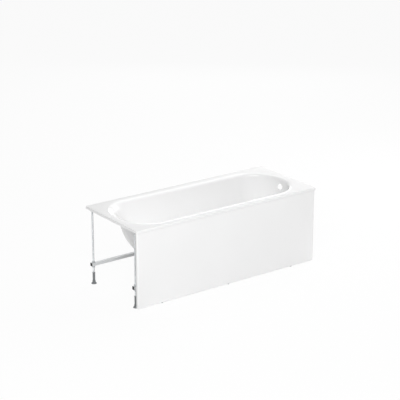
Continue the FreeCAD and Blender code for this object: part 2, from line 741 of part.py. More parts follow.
def front_panel():
    body = make("PartDesign::Body", "front_panel")
    face, inner_face, back = number(PANEL_FACE), number(PANEL_BACK), number(f"{PANEL_FACE} + panel_return")
    low, high, half = number("panel_floor_gap"), number(PANEL_TOP), number(PANEL_HALF)
    sheet = number("panel_sheet")

    def panel_box(kind, name, margin):
        """A block of the panel's outline, drawn in by the margin on every side but the back."""
        block = body.newObject(kind, name)
        block.AttachmentSupport = (plane(body, "XY_Plane"), [""])
        block.MapMode = "FlatFace"
        return bind(
            block,
            Length=f"2 * ({PANEL_HALF} - {margin})",
            Width=f"panel_return - {margin}",
            Height=f"{PANEL_TOP} - panel_floor_gap - 2 * {margin}",
            AttachmentOffset__Base__x=f"-{PANEL_HALF} + {margin}",
            AttachmentOffset__Base__y=f"{PANEL_FACE} + {margin}",
            AttachmentOffset__Base__z=f"panel_floor_gap + {margin}",
        )

    def upright(point, y, x):
        return near(point.y, y) and near(abs(point.x), x)

    def level(point, bottom, top):
        return (near(point.z, bottom) or near(point.z, top)) and not near(point.y, back)

    block = panel_box("PartDesign::AdditiveBox", "panel_block", "0")
    ends = fillet(body, "upright_edges", block, "panel_edge", lambda p: upright(p, face, half))
    fillet(body, "level_edges", ends, "panel_low_edge", lambda p: level(p, low, high))
    hollow = panel_box("PartDesign::SubtractiveBox", "panel_hollow", "panel_sheet")
    inner_ends = fillet(
        body,
        "inner_upright_edges",
        hollow,
        "panel_edge - panel_sheet",
        lambda p: upright(p, inner_face, half - sheet),
    )
    fillet(
        body,
        "inner_level_edges",
        inner_ends,
        "panel_low_edge - panel_sheet",
        lambda p: level(p, low + sheet, high - sheet),
    )
    doc.recompute()
    keep(body)


def panel_battens():
    """Two boards bonded along the panel's back to stiffen it."""
    length = f"2 * ({PANEL_HALF} - batten_end)"
    y = f"{PANEL_BACK} + batten_thickness / 2"
    boards = [
        box(f"batten_{name}", "0", y, f"{z} - batten_width / 2", length, "batten_thickness", "batten_width")
        for name, z in {"low": "batten_low", "high": f"{PANEL_TOP} - batten_high"}.items()
    ]
    keep(group("panel_battens", boards))


def panel_glides():
    """Small feet under the panel's lower edge."""
    y = f"{PANEL_FACE} + panel_low_edge + glide_radius + glide_inset"
    feet = [
        cylinder(f"glide_{name}", f"{place} * glide_place", y, "0", "glide_radius", "panel_floor_gap")
        for name, place in {"head": -1, "middle": 0, "drain": 1}.items()
    ]
    keep(group("panel_glides", feet))


def panel_catches():
    """Spring clips riveted to the front rail, and the tongues on the panel that they hold."""
    clips, tongues, rivets = [], [], []
    leaf_inside = "(tongue_thickness / 2 + tongue_play)"
    leaf_length = "(clip_reach - clip_sheet - flare_length * cos(flare_angle))"
    clip_z = f"{CLIP_MIDDLE} - clip_height / 2"
    clip_back_y = f"{RAIL_FRONT} - clip_sheet / 2"
    rivet_bore = "rivet_radius + rod_play"
    tongue_z = f"{CLIP_MIDDLE} - tongue_height / 2"
    foot_back = f"({PANEL_BACK} + tongue_foot_thickness)"
    tongue_length = f"({RAIL_FRONT} - clip_reach + tongue_overlap - {foot_back})"
    for end, x in catch_places():
        clip = [
            box(f"clip_back_{end}", x, clip_back_y, clip_z, "clip_width", "clip_sheet", "clip_height")
        ]
        for hand, away in {"near": -1, "far": 1}.items():
            leaf = box(
                f"clip_leaf_{end}_{hand}",
                f"{x} + {away} * ({leaf_inside} + clip_sheet / 2)",
                f"{CLIP_FRONT} - {leaf_length} / 2",
                clip_z,
                "clip_sheet",
                leaf_length,
                "clip_height",
            )
            # The flared end turns about the corner of the leaf that faces the tongue.
            flare = make("Part::Box", f"clip_flare_{end}_{hand}")
            flare.Placement.Rotation = FreeCAD.Rotation(FreeCAD.Vector(0, 0, 1), 180)
            start = "clip_sheet" if away > 0 else "0"
            bind(
                flare,
                Length="clip_sheet",
                Width="flare_length",
                Height="clip_height",
                Placement__Rotation__Angle=f"180 deg + {away} * flare_angle * 1 deg",
            )
            at(
                flare,
                f"{x} + {away} * {leaf_inside} + {start} * cos(flare_angle)",
                f"{CLIP_FRONT} - {leaf_length} + {start} * sin(flare_angle)",
                clip_z,
            )
            clip += [leaf, flare]
        holes = [
            lying(f"clip_hole_{name}", hole_x, CLIP_FRONT, CLIP_MIDDLE, rivet_bore, "clip_sheet")
            for name, hole_x in rivet_places()
            if name.startswith(end)
        ]
        clips.append(cut(f"catch_clip_{end}", fuse(f"clip_block_{end}", *clip), *holes))
        foot_plate = box(
            f"tongue_foot_{end}",
            x,
            f"{PANEL_BACK} + tongue_foot_thickness / 2",
            f"{CLIP_MIDDLE} - tongue_foot / 2",
            "tongue_foot",
            "tongue_foot_thickness",
            "tongue_foot",
        )
        blade = box(
            f"tongue_blade_{end}",
            x,
            f"{foot_back} + {tongue_length} / 2",
            tongue_z,
            "tongue_thickness",
            tongue_length,
            "tongue_height",
        )
        tongues.append(fuse(f"catch_tongue_{end}", foot_plate, blade))
    for name, x in rivet_places():
        head = lying(
            f"rivet_head_{name}",
            x,
            f"{CLIP_FRONT} - rivet_head_height",
            CLIP_MIDDLE,
            "rivet_head_radius",
            "rivet_head_height",
        )
        shank = lying(f"rivet_shank_{name}", x, CLIP_FRONT, CLIP_MIDDLE, "rivet_radius", "rivet_length")
        rivets.append(fuse(f"rivet_{name}", head, shank))
    keep(group("catch_clips", clips))
    keep(group("catch_rivets", rivets))
    keep(group("catch_tongues", tongues))


tub_shell()
base_board()
for side_name in SIDES:
    rail(side_name)
for end_name in ENDS:
    cross_bar(end_name)
rods()
rim_caps()
nuts_and_washers()
tube_plugs()
for rod_name, rod_x, rod_y in rod_places():
    foot(rod_name, rod_x, rod_y)
front_panel()
panel_battens()
panel_glides()
panel_catches()

doc.recompute()
for thing in doc.Objects:
    if "Invalid" in thing.State or "Error" in thing.State:
        raise RuntimeError(f"{thing.Label} does not rebuild")
for piece in pieces:
    if piece.Shape.isNull() or not piece.Shape.isValid():
        raise RuntimeError(f"{piece.Label} has no valid shape")

os.makedirs(OUT, exist_ok=True)
for piece in pieces:
    piece.Shape.exportStep(os.path.join(OUT, f"{piece.Label}.step"))
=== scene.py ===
import json
import math

import bmesh
import bpy
from bpy.props import FloatProperty, FloatVectorProperty, IntProperty, PointerProperty
from mathutils import Matrix, Vector


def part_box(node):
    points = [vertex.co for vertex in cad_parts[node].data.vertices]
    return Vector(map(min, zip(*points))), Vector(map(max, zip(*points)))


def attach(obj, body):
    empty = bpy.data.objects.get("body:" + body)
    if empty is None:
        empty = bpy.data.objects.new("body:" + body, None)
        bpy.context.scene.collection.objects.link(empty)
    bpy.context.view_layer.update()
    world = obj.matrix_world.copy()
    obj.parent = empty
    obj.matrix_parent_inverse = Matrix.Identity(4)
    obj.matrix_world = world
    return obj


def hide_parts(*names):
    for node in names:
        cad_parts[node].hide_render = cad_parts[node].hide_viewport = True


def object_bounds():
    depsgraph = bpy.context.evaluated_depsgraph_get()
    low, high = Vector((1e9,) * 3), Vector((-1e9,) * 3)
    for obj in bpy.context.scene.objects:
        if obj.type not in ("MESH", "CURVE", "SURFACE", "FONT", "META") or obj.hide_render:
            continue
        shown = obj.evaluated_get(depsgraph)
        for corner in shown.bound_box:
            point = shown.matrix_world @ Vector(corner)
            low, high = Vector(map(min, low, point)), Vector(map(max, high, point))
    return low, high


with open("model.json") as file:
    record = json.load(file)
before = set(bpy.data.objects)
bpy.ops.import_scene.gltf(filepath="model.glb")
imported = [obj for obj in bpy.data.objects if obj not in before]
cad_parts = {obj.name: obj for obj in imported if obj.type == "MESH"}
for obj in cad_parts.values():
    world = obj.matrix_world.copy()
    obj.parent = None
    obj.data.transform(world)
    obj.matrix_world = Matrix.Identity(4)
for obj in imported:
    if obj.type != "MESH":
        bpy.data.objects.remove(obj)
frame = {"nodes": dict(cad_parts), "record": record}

bl_info = {
    "name": "Bathtub dressing",
    "version": (1, 0, 0),
    "blender": (4, 5, 0),
    "location": "View3D > Sidebar > Bathtub",
    "description": "Gives the packed bathtub, its frame and its panel their finished forms and surfaces",
    "category": "Object",
}

CAD_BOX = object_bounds()
IMAGE_SIDE = 400  # pixels of the square picture
SENSOR = 36.0  # millimetres, the camera's default
WHITE = (1.0, 1.0, 1.0, 1.0)

BATH, PANEL = "bath_on_frame", "panel"
RODS = [
    f"{kind}_{end}_{side}"
    for kind in ("post", "stud")
    for side in ("front", "back")
    for end in ("head", "drain")
]
MOUNTS = {mount["name"]: mount for mount in frame["record"]["mounts"]}


# Settings a user would change


def linear(code):
    """Linear colour of an sRGB hex value."""
    shares = [int(code[place : place + 2], 16) / 255 for place in (1, 3, 5)]
    return [s / 12.92 if s <= 0.04045 else ((s + 0.055) / 1.055) ** 2.4 for s in shares] + [1.0]


def length(name, description, default):
    return FloatProperty(
        name=name, description=description, default=default, min=0.0, precision=4, unit="LENGTH"
    )


def share(name, description, default):
    return FloatProperty(
        name=name, description=description, default=default, min=0.0, max=1.0, subtype="FACTOR"
    )


def angle(name, description, degrees):
    return FloatProperty(
        name=name, description=description, default=math.radians(degrees), subtype="ANGLE"
    )


def lamp_power(name, description, default):
    return FloatProperty(name=name, description=description, default=default, subtype="POWER")


def colour(name, description, code):
    return FloatVectorProperty(
        name=name,
        description=description,
        default=linear(code),
        size=4,
        min=0.0,
        max=1.0,
        subtype="COLOR",
    )


class TubSizes(bpy.types.PropertyGroup):
    """Sizes of the formed tub, in metres."""

    sheet: length("Sheet", "Thickness of the formed acrylic and its laminate", 0.006)
    lip_height: length("Lip height", "Height of the rim's turned-down lip", 0.022)
    rim_corner: length("Rim corner", "Corner radius of the rim seen from above", 0.010)
    rim_edge: length("Rim edge", "Rounding of the rim's top outer edge", 0.004)
    head_rim: length("Head rim", "Rim at the head end, out from the mouth", 0.044)
    drain_rim: length("Drain rim", "Rim at the drain end, out from the mouth", 0.075)
    side_rim: length("Side rim", "Rim along the sides, out from the mouth", 0.076)
    rim_fall: share("Rim fall", "Slope of the rim where it meets the rolled edge", 0.09)
    fall_width: length("Fall width", "Width of the rim's band that falls towards the bowl", 0.040)
    roll_radius: length("Rolled edge", "Radius of the edge from the rim into the bowl", 0.028)
    head_run: length("Backrest run", "Horizontal run of the backrest", 0.330)
    brow_drop: share("Brow drop", "Share of the depth down to the backrest's brow", 0.17)
    brow_run: share("Brow run", "Share of the backrest's run down to that brow", 0.255)
    back_drop: share("Back drop", "Share of the depth down to the end of the steep part", 0.60)
    back_run: share("Back run", "Share of the backrest's run down to there", 0.46)
    sweep_drop: share("Sweep drop", "Share of the depth down to the middle of the sweep", 0.81)
    sweep_run: share("Sweep run", "Share of the backrest's run down to there", 0.673)
    drain_run: length("Drain wall run", "Horizontal run of the drain end's wall", 0.040)
    side_run: length("Side wall run", "Horizontal run of each side wall", 0.064)
    head_corner: length("Head corner", "Corner radius of the mouth at the head end", 0.165)
    drain_corner: length("Drain corner", "Corner radius of the mouth at the drain end", 0.250)
    floor_corner: length("Floor corner", "Corner radius of the bowl's floor", 0.140)
    floor_round: length("Floor rounding", "Rounding between the walls and the floor", 0.055)
    seat_radius: length("Drain seat", "Radius of the seat around the drain hole", 0.043)
    seat_depth: length("Drain seat depth", "Depth of that seat", 0.0025)
    hole_edge: length("Hole edge", "Width of the eased edge around the holes", 0.0008)
    step: length("Mesh step", "Spacing of the mesh along the rim", 0.012)
    end_half_angle: angle("End half angle", "Half of the angle that the arc at each end spans", 30)


class KitSizes(bpy.types.PropertyGroup):
    """Sizes of the panel, the frame's hardware and the mouldings, in metres."""

    panel_sheet: length("Panel sheet", "Thickness of the panel's acrylic", 0.004)
    panel_edge: length("Panel upright edge", "Rounding of the panel's upright edges", 0.012)
    panel_low_edge: length("Panel level edge", "Rounding of the panel's level edges", 0.006)
    thread_pitch: length("Thread pitch", "Pitch of the threaded rods", 0.002)
    thread_depth: length("Thread depth", "Depth of the threads", 0.0011)
    rod_bore: length("Rod bore", "Radius of the bore in the nuts and foot sleeves", 0.00705)
    nut_chamfer: length("Nut chamfer", "Height of the turned chamfer on a nut's corners", 0.0013)
    washer_bore: length("Washer bore", "Radius of the washers' holes", 0.0076)
    tube_edge: length("Tube edge", "Broken edge at the tubes' cut ends", 0.0004)
    board_edge: length("Board edge", "Broken edge of the boards", 0.0012)
    moulded_edge: length("Moulded edge", "Rounding on the plastic mouldings", 0.0008)
    steel_edge: length("Spring edge", "Rounding on the spring clips", 0.0003)
    thread_columns: IntProperty(
        name="Thread columns", description="Faces around a threaded rod", default=16, min=8
    )


class Finishes(bpy.types.PropertyGroup):
    """Colours of the materials."""

    acrylic: colour("Acrylic", "Sanitary acrylic of the tub and the panel", "#F8F8F8")
    laminate: colour("Laminate", "Resin laminate under the tub", "#DAD7CB")
    zinc: colour("Zinc", "Zinc plating of the rods and fasteners", "#CDD0D2")
    rail_coat: colour("Rail coat", "Pale grey coating of the long rails", "#DBDDDE")
    bar_coat: colour("Bar coat", "Dark coating of the cross bars", "#3A3B3D")
    spring: colour("Spring steel", "Bare spring steel of the clips", "#9FA2A4")
    grey_plastic: colour("Grey plastic", "Moulded feet, glides and tongues", "#7E8183")
    black_plastic: colour("Black plastic", "Moulded caps and plugs", "#242526")
    chips: colour("Chips", "Pale chips of the boards", "#C9AE84")
    dark_chips: colour("Dark chips", "Dark chips of the boards", "#9C7C52")


class StageSettings(bpy.types.PropertyGroup):
    """The studio and the camera."""

    floor: colour("Floor", "Colour of the floor", "#F7F7F7")
    camera_place: FloatVectorProperty(
        name="Camera place",
        description="Where the camera stands",
        default=(-6.087, -8.281, 4.136),
        subtype="TRANSLATION",
        unit="LENGTH",
    )
    camera_turn: angle("Camera turn", "Heading to the right of straight ahead", 36.19)
    camera_dip: angle("Camera dip", "How far the camera looks below the horizon", 19.03)
    focal_pixels: FloatProperty(
        name="Focal length", description="Focal length in pixels of the picture", default=1405.0
    )
    sky: FloatProperty(
        name="Sky", description="Strength of the even light from all round", default=0.2
    )
    floor_lift: share("Floor lift", "Share of plain white in the floor that the camera sees", 0.94)
    front_power: lamp_power("Front light", "Power of the light in front of the head end", 367.0)
    back_power: lamp_power("Back light", "Power of the light behind the drain end", 73.0)
    side_power: lamp_power("Side light", "Power of the large light beyond the drain end", 54.0)
    end_power: lamp_power("End light", "Power of the low light that reaches the backrest", 24.0)
    strip_power: lamp_power("Strip light", "Power of the strip that glints along the rim", 31.0)


# Meshes and pieces


WELD = 2e-6  # metres within which corners are one
FLAT = math.radians(0.5)  # faces that turn less than this are one flat
TURNED_SIDES, FINE_SIDES = 48, 64  # faces around small and around large turned solids


def shown(name, data):
    """An object in the scene with that mesh, lamp or camera."""
    made = bpy.data.objects.new(name, data)
    bpy.context.scene.collection.objects.link(made)
    return made


def mesh_of(name, work):
    """A mesh from a bmesh, which is used up."""
    mesh = bpy.data.meshes.new(name)
    work.to_mesh(mesh)
    work.free()
    return mesh


def settle(thing):
    """Turns an object's modifiers into its plain mesh."""
    graph = bpy.context.evaluated_depsgraph_get()
    mesh = bpy.data.meshes.new_from_object(
        thing.evaluated_get(graph), preserve_all_data_layers=True, depsgraph=graph
    )
    mesh.name = thing.name
    thing.modifiers.clear()
    thing.data = mesh
    return thing


def smoothed(thing, angle=math.radians(35)):
    """Smooth shading that stays flat on flats and sharp at edges over the angle."""
    thing.data.shade_smooth()
    thing.data.set_sharp_from_angle(angle=angle)
    weighted = thing.modifiers.new("even_normals", "WEIGHTED_NORMAL")
    weighted.keep_sharp = True
    weighted.mode = "FACE_AREA"
    return settle(thing)


def handed_over(thing, body, slot, nodes, *materials):
    """Gives a finished piece its materials and its body, and hides the CAD nodes it stands for."""
    thing.data.materials.clear()
    for finish in materials:
        thing.data.materials.append(finish)
    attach(thing, body)
    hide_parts(*nodes)


def merged(node):
    """A bmesh copy of a CAD node with its loose triangles joined and its flats made whole."""
    work = bmesh.new()
    work.from_mesh(frame["nodes"][node].data)
    bmesh.ops.remove_doubles(work, verts=work.verts, dist=WELD)
    bmesh.ops.dissolve_limit(work, angle_limit=FLAT, verts=work.verts, edges=work.edges)
    return work


def softened(name, node, edge, angle=math.radians(50)):
    """A CAD node as one piece with its sharp edges rounded."""
    thing = shown(name, mesh_of(name, merged(node)))
    bevel = thing.modifiers.new("soft_edges", "BEVEL")
    bevel.limit_method = "ANGLE"
    bevel.angle_limit = angle
    bevel.width = edge
    bevel.segments = 2
    bevel.use_clamp_overlap = True
    return smoothed(settle(thing))


def islands(node):
    """Lowest and highest corners of each separate solid in a CAD node."""
    work = merged(node)
    left, boxes = set(work.verts), []
    while left:
        reached, front = set(), [left.pop()]
        while front:
            vert = front.pop()
            reached.add(vert)
            front += [e.other_vert(vert) for e in vert.link_edges if e.other_vert(vert) in left]
            left.difference_update(front)
        low = Vector([min(v.co[axis] for v in reached) for axis in range(3)])
        high = Vector([max(v.co[axis] for v in reached) for axis in range(3)])
        boxes.append((low, high))
    work.free()
    return boxes


def spans(box):
    """Length, width and height of a box."""
    return [high - low for low, high in zip(*box)]


def turned(name, profile, segments=TURNED_SIDES):
    """A turned solid; the profile's radius and height pairs start and end on the axis."""
    work = bmesh.new()
    turns = [2 * math.pi * step / segments for step in range(segments)]
    rings = []
    for radius, height in profile:
        around = turns if radius else turns[:1]
        places = [(radius * math.cos(turn), radius * math.sin(turn), height) for turn in around]
        rings.append([work.verts.new(place) for place in places])
    for low, high in zip(rings, rings[1:]):
        for step in range(segments):
            after = (step + 1) % segments
            corners = [low[step % len(low)], low[after % len(low)]]
            corners += [high[after % len(high)], high[step % len(high)]]
            work.faces.new(list(dict.fromkeys(corners)))
    bmesh.ops.recalc_face_normals(work, faces=work.faces)
    return shown(name, mesh_of(name, work))


def cut_by(thing, cutter, operation="DIFFERENCE"):
    """Applies a Boolean with another object, which is used up."""
    boolean = thing.modifiers.new("cut", "BOOLEAN")
    boolean.operation = operation
    boolean.solver = "EXACT"
    boolean.object = cutter
    settle(thing)
    bpy.data.objects.remove(cutter)
    return thing


# Node trees


BORE_SIDES, SHANK_SIDES = 40, 24  # faces around the fasteners' bores and shanks


def add(tree, kind, inputs=None, **settings):
    """A node with its settings; an input is a value, a node's output, or a node for its first output."""
    node = tree.nodes.new(kind)
    for name, value in settings.items():
        setattr(node, name, value)
    for key, value in (inputs or {}).items():
        if isinstance(value, bpy.types.Node):
            value = value.outputs[0]
        if isinstance(value, bpy.types.NodeSocket):
            tree.links.new(value, node.inputs[key])
        else:
            node.inputs[key].default_value = value
    return node


def growth_tree(name, floats, **sockets):
    """A geometry tree with named inputs, its input node and its output node."""
    tree = bpy.data.node_groups.new(name, "GeometryNodeTree")
    tree.interface.new_socket("Points", in_out="INPUT", socket_type="NodeSocketGeometry")
    kinds = {**dict.fromkeys(floats, "Float"), **sockets, "material": "Material"}
    for socket, kind in kinds.items():
        label = socket.replace("_", " ").capitalize()
        tree.interface.new_socket(label, in_out="INPUT", socket_type=f"NodeSocket{kind}")
    tree.interface.new_socket("Geometry", in_out="OUTPUT", socket_type="NodeSocketGeometry")
    return tree, add(tree, "NodeGroupInput").outputs, add(tree, "NodeGroupOutput")


def planted(tree, given, end, shape, **extra):
    """Ends a tree: the shape on each point, made real and with its material."""
    inputs = {"Points": given["Points"], "Instance": shape, **extra}
    placed = add(tree, "GeometryNodeInstanceOnPoints", inputs)
    real = add(tree, "GeometryNodeRealizeInstances", {"Geometry": placed})
    finish = add(tree, "GeometryNodeSetMaterial", {"Geometry": real, "Material": given["Material"]})
    tree.links.new(finish.outputs["Geometry"], end.inputs["Geometry"])


def grown(name, tree, points, **values):
    """A plain mesh piece that the tree grows on the points."""
    mesh = bpy.data.meshes.new(name)
    mesh.from_pydata(points, [], [])
    thing = shown(name, mesh)
    grower = thing.modifiers.new("grow", "NODES")
    grower.node_group = tree
    for item in tree.interface.items_tree:
        key = item.name.lower().replace(" ", "_")
        if item.in_out == "INPUT" and key in values:
            grower[item.identifier] = values[key]
    return settle(thing)


def threaded_rod_tree():
    """A cylinder whose radius follows the helix of a rolled thread, chamfered at both ends."""
    tree, given, end = growth_tree(
        "threaded_rod",
        ("length", "crest_radius", "depth", "pitch"),
        columns="Int",
        rows_per_pitch="Int",
    )
    long, crest, deep, pitch = (given[key] for key in ("Length", "Crest radius", "Depth", "Pitch"))
    turns = add(tree, "ShaderNodeMath", {0: long, 1: pitch}, operation="DIVIDE")
    rows = add(tree, "ShaderNodeMath", {0: turns, 1: given["Rows per pitch"]}, operation="MULTIPLY")
    blank = add(
        tree,
        "GeometryNodeMeshCylinder",
        {"Vertices": given["Columns"], "Side Segments": rows, "Radius": crest, "Depth": long},
        fill_type="NGON",
    )
    place = add(tree, "GeometryNodeInputPosition")
    axes = add(tree, "ShaderNodeSeparateXYZ", {0: place}).outputs
    heading = add(tree, "ShaderNodeMath", {0: axes["Y"], 1: axes["X"]}, operation="ARCTAN2")
    part_turn = add(tree, "ShaderNodeMath", {0: heading, 1: 2 * math.pi}, operation="DIVIDE")
    climb = add(tree, "ShaderNodeMath", {0: axes["Z"], 1: pitch}, operation="DIVIDE")
    lead = add(tree, "ShaderNodeMath", {0: climb, 1: part_turn}, operation="SUBTRACT")
    phase = add(tree, "ShaderNodeMath", {0: lead, 1: 0.5}, operation="PINGPONG")
    groove = add(tree, "ShaderNodeMath", {0: phase, 1: deep}, operation="MULTIPLY")
    doubled = add(tree, "ShaderNodeMath", {0: groove, 1: 2.0}, operation="MULTIPLY")
    thread = add(tree, "ShaderNodeMath", {0: crest, 1: doubled}, operation="SUBTRACT")
    half = add(tree, "ShaderNodeMath", {0: long, 1: 0.5}, operation="MULTIPLY")
    level = add(tree, "ShaderNodeMath", {0: axes["Z"]}, operation="ABSOLUTE")
    to_end = add(tree, "ShaderNodeMath", {0: half, 1: level}, operation="SUBTRACT")
    core = add(tree, "ShaderNodeMath", {0: crest, 1: deep}, operation="SUBTRACT")
    chamfer = add(tree, "ShaderNodeMath", {0: core, 1: to_end}, operation="ADD")
    radius = add(tree, "ShaderNodeMath", {0: thread, 1: chamfer}, operation="MINIMUM")
    scale = add(tree, "ShaderNodeMath", {0: radius, 1: crest}, operation="DIVIDE")
    spread = add(tree, "ShaderNodeCombineXYZ", {"X": scale, "Y": scale, "Z": 1.0})
    drawn = add(tree, "ShaderNodeVectorMath", {0: place, 1: spread}, operation="MULTIPLY")
    cut = add(tree, "GeometryNodeSetPosition", {"Geometry": blank, "Position": drawn})
    soft = add(tree, "GeometryNodeSetShadeSmooth", {"Geometry": cut})
    planted(tree, given, end, soft)
    return tree


def bored_blank_tree():
    """A prism turned down at its corners and bored: a hexagon nut or, with many sides, a washer."""
    tree, given, end = growth_tree(
        "bored_blank",
        ("prism_radius", "turned_radius", "face_radius", "height", "chamfer", "bore"),
        sides="Int",
    )
    height, face, lathe = given["Height"], given["Face radius"], given["Turned radius"]
    prism = add(
        tree,
        "GeometryNodeMeshCylinder",
        {"Vertices": given["Sides"], "Radius": given["Prism radius"], "Depth": height},
        fill_type="NGON",
    )
    blank = add(
        tree,
        "GeometryNodeMeshCylinder",
        {"Vertices": TURNED_SIDES, "Side Segments": 3, "Radius": lathe, "Depth": height},
        fill_type="NGON",
    )
    place = add(tree, "GeometryNodeInputPosition")
    axes = add(tree, "ShaderNodeSeparateXYZ", {0: place}).outputs
    half = add(tree, "ShaderNodeMath", {0: height, 1: 0.5}, operation="MULTIPLY")
    shoulder = add(tree, "ShaderNodeMath", {0: half, 1: given["Chamfer"]}, operation="SUBTRACT")
    side = add(tree, "ShaderNodeMath", {0: axes["Z"]}, operation="SIGN")
    level = add(tree, "ShaderNodeMath", {0: axes["Z"]}, operation="ABSOLUTE")
    mark = add(tree, "ShaderNodeMath", {0: half, 1: 0.9}, operation="MULTIPLY")
    on_face = add(tree, "ShaderNodeMath", {0: level, 1: mark}, operation="GREATER_THAN")
    shoulder_z = add(tree, "ShaderNodeMath", {0: side, 1: shoulder}, operation="MULTIPLY")
    narrow = add(tree, "ShaderNodeMath", {0: face, 1: lathe}, operation="DIVIDE")
    scale = add(tree, "ShaderNodeMix", {0: on_face, 2: 1.0, 3: narrow}, data_type="FLOAT")
    new_z = add(tree, "ShaderNodeMix", {0: on_face, 2: shoulder_z, 3: axes["Z"]}, data_type="FLOAT")
    new_x = add(tree, "ShaderNodeMath", {0: axes["X"], 1: scale}, operation="MULTIPLY")
    new_y = add(tree, "ShaderNodeMath", {0: axes["Y"], 1: scale}, operation="MULTIPLY")
    drawn = add(tree, "ShaderNodeCombineXYZ", {"X": new_x, "Y": new_y, "Z": new_z})
    lathed = add(tree, "GeometryNodeSetPosition", {"Geometry": blank, "Position": drawn})
    both = add(tree, "GeometryNodeMeshBoolean", operation="INTERSECT", solver="EXACT")
    for mesh in (prism, lathed):
        tree.links.new(mesh.outputs[0], both.inputs["Mesh 2"])
    twice = add(tree, "ShaderNodeMath", {0: height, 1: 2.0}, operation="MULTIPLY")
    drill = add(
        tree,
        "GeometryNodeMeshCylinder",
        {"Vertices": BORE_SIDES, "Radius": given["Bore"], "Depth": twice},
        fill_type="NGON",
    )
    bored = add(
        tree,
        "GeometryNodeMeshBoolean",
        {"Mesh 1": both, "Mesh 2": drill},
        operation="DIFFERENCE",
        solver="EXACT",
    )
    planted(tree, given, end, bored)
    return tree


def headed_pin_tree():
    """A domed head on a plain shank, with a cross recess where its width is over zero."""
    tree, given, end = growth_tree(
        "headed_pin",
        ("head_radius", "head_height", "shank_radius", "shank_length", "recess_width"),
        turn="Vector",
    )
    radius, height, width = given["Head radius"], given["Head height"], given["Recess width"]
    ball = add(tree, "GeometryNodeMeshUVSphere", {"Segments": 32, "Rings": 16, "Radius": radius})
    place = add(tree, "GeometryNodeInputPosition")
    axes = add(tree, "ShaderNodeSeparateXYZ", {0: place}).outputs
    raised = add(tree, "ShaderNodeMath", {0: axes["Z"], 1: 0.0}, operation="MAXIMUM")
    ratio = add(tree, "ShaderNodeMath", {0: height, 1: radius}, operation="DIVIDE")
    crown = add(tree, "ShaderNodeMath", {0: raised, 1: ratio}, operation="MULTIPLY")
    drawn = add(tree, "ShaderNodeCombineXYZ", {"X": axes["X"], "Y": axes["Y"], "Z": crown})
    head = add(tree, "GeometryNodeSetPosition", {"Geometry": ball, "Position": drawn})
    pin = add(
        tree,
        "GeometryNodeMeshCylinder",
        {"Vertices": SHANK_SIDES, "Radius": given["Shank radius"], "Depth": given["Shank length"]},
        fill_type="NGON",
    )
    bite = add(tree, "ShaderNodeMath", {0: height, 1: 0.3}, operation="MULTIPLY")
    drop = add(tree, "ShaderNodeMath", {0: given["Shank length"], 1: -0.5}, operation="MULTIPLY")
    sunk = add(tree, "ShaderNodeMath", {0: drop, 1: bite}, operation="ADD")
    down = add(tree, "ShaderNodeCombineXYZ", {"Z": sunk})
    shank = add(tree, "GeometryNodeTransform", {"Geometry": pin, "Translation": down})
    whole = add(tree, "GeometryNodeMeshBoolean", operation="UNION", solver="EXACT")
    for mesh in (head, shank):
        tree.links.new(mesh.outputs[0], whole.inputs["Mesh 2"])
    reach = add(tree, "ShaderNodeMath", {0: radius, 1: 1.1}, operation="MULTIPLY")
    cross = add(tree, "GeometryNodeMeshBoolean", operation="UNION", solver="EXACT")
    for x, y in ((reach, width), (width, reach)):
        size = add(tree, "ShaderNodeCombineXYZ", {"X": x, "Y": y, "Z": height})
        bar = add(tree, "GeometryNodeMeshCube", {"Size": size})
        tree.links.new(bar.outputs[0], cross.inputs["Mesh 2"])
    lift = add(tree, "ShaderNodeCombineXYZ", {"Z": height})
    lifted = add(tree, "GeometryNodeTransform", {"Geometry": cross, "Translation": lift})
    driven = add(
        tree,
        "GeometryNodeMeshBoolean",
        {"Mesh 1": whole, "Mesh 2": lifted},
        operation="DIFFERENCE",
        solver="EXACT",
    )
    has_cross = add(
        tree,
        "FunctionNodeCompare",
        {0: width, 1: 0.0},
        data_type="FLOAT",
        operation="GREATER_THAN",
    )
    chosen = add(
        tree,
        "GeometryNodeSwitch",
        {"Switch": has_cross, "False": whole, "True": driven},
        input_type="GEOMETRY",
    )
    planted(tree, given, end, chosen, Rotation=given["Turn"])
    return tree


# Materials


def per(millimetres):
    """Texture scale whose features are that far apart."""
    return 1000.0 / millimetres


def darker(tint, keep):
    """A colour with only a share of its light kept."""
    return [part * keep for part in tint[:3]] + [1.0]


def blank_tree(holder):
    """The emptied node tree of a material or a world."""
    holder.use_nodes = True
    holder.node_tree.nodes.clear()
    return holder.node_tree


def blank_material(name):
    """An empty material, its node tree and Object coordinates."""
    made = bpy.data.materials.new(name)
    tree = blank_tree(made)
    return made, tree, add(tree, "ShaderNodeTexCoord").outputs["Object"]


def varied(tree, place, millimetres, low, high, detail=3.0):
    """A noise between two values, spaced in millimetres."""
    noise = add(
        tree,
        "ShaderNodeTexNoise",
        {"Vector": place, "Scale": per(millimetres), "Detail": detail, "Roughness": 0.5},
    )
    return add(
        tree,
        "ShaderNodeMapRange",
        {"Value": noise, "From Min": 0.3, "From Max": 0.7, "To Min": low, "To Max": high},
    )


def gloss_cast_acrylic(finishes):
    # Cast sheet drawn over a mould: an even, deep gloss whose reflections swim a little, because the
    # sheet thins and waves by tenths of a millimetre over a hand's breadth.
    made, tree, place = blank_material("gloss_cast_acrylic")
    wave = varied(tree, place, 260, 0.0, 1.0, detail=1.0)
    swim = add(tree, "ShaderNodeBump", {"Height": wave, "Strength": 1.0, "Distance": 0.0004})
    tone = varied(tree, place, 420, 0.0, 1.0, detail=1.0)
    tints = {6: list(finishes.acrylic), 7: darker(finishes.acrylic, 0.985)}
    white = add(tree, "ShaderNodeMix", {0: tone, **tints}, data_type="RGBA")
    skin = add(
        tree,
        "ShaderNodeBsdfPrincipled",
        {
            "Base Color": white.outputs[2],
            "Roughness": varied(tree, place, 45, 0.13, 0.19),
            "IOR": 1.49,
            "Normal": swim,
        },
    )
    add(tree, "ShaderNodeOutputMaterial", {"Surface": skin})
    return made


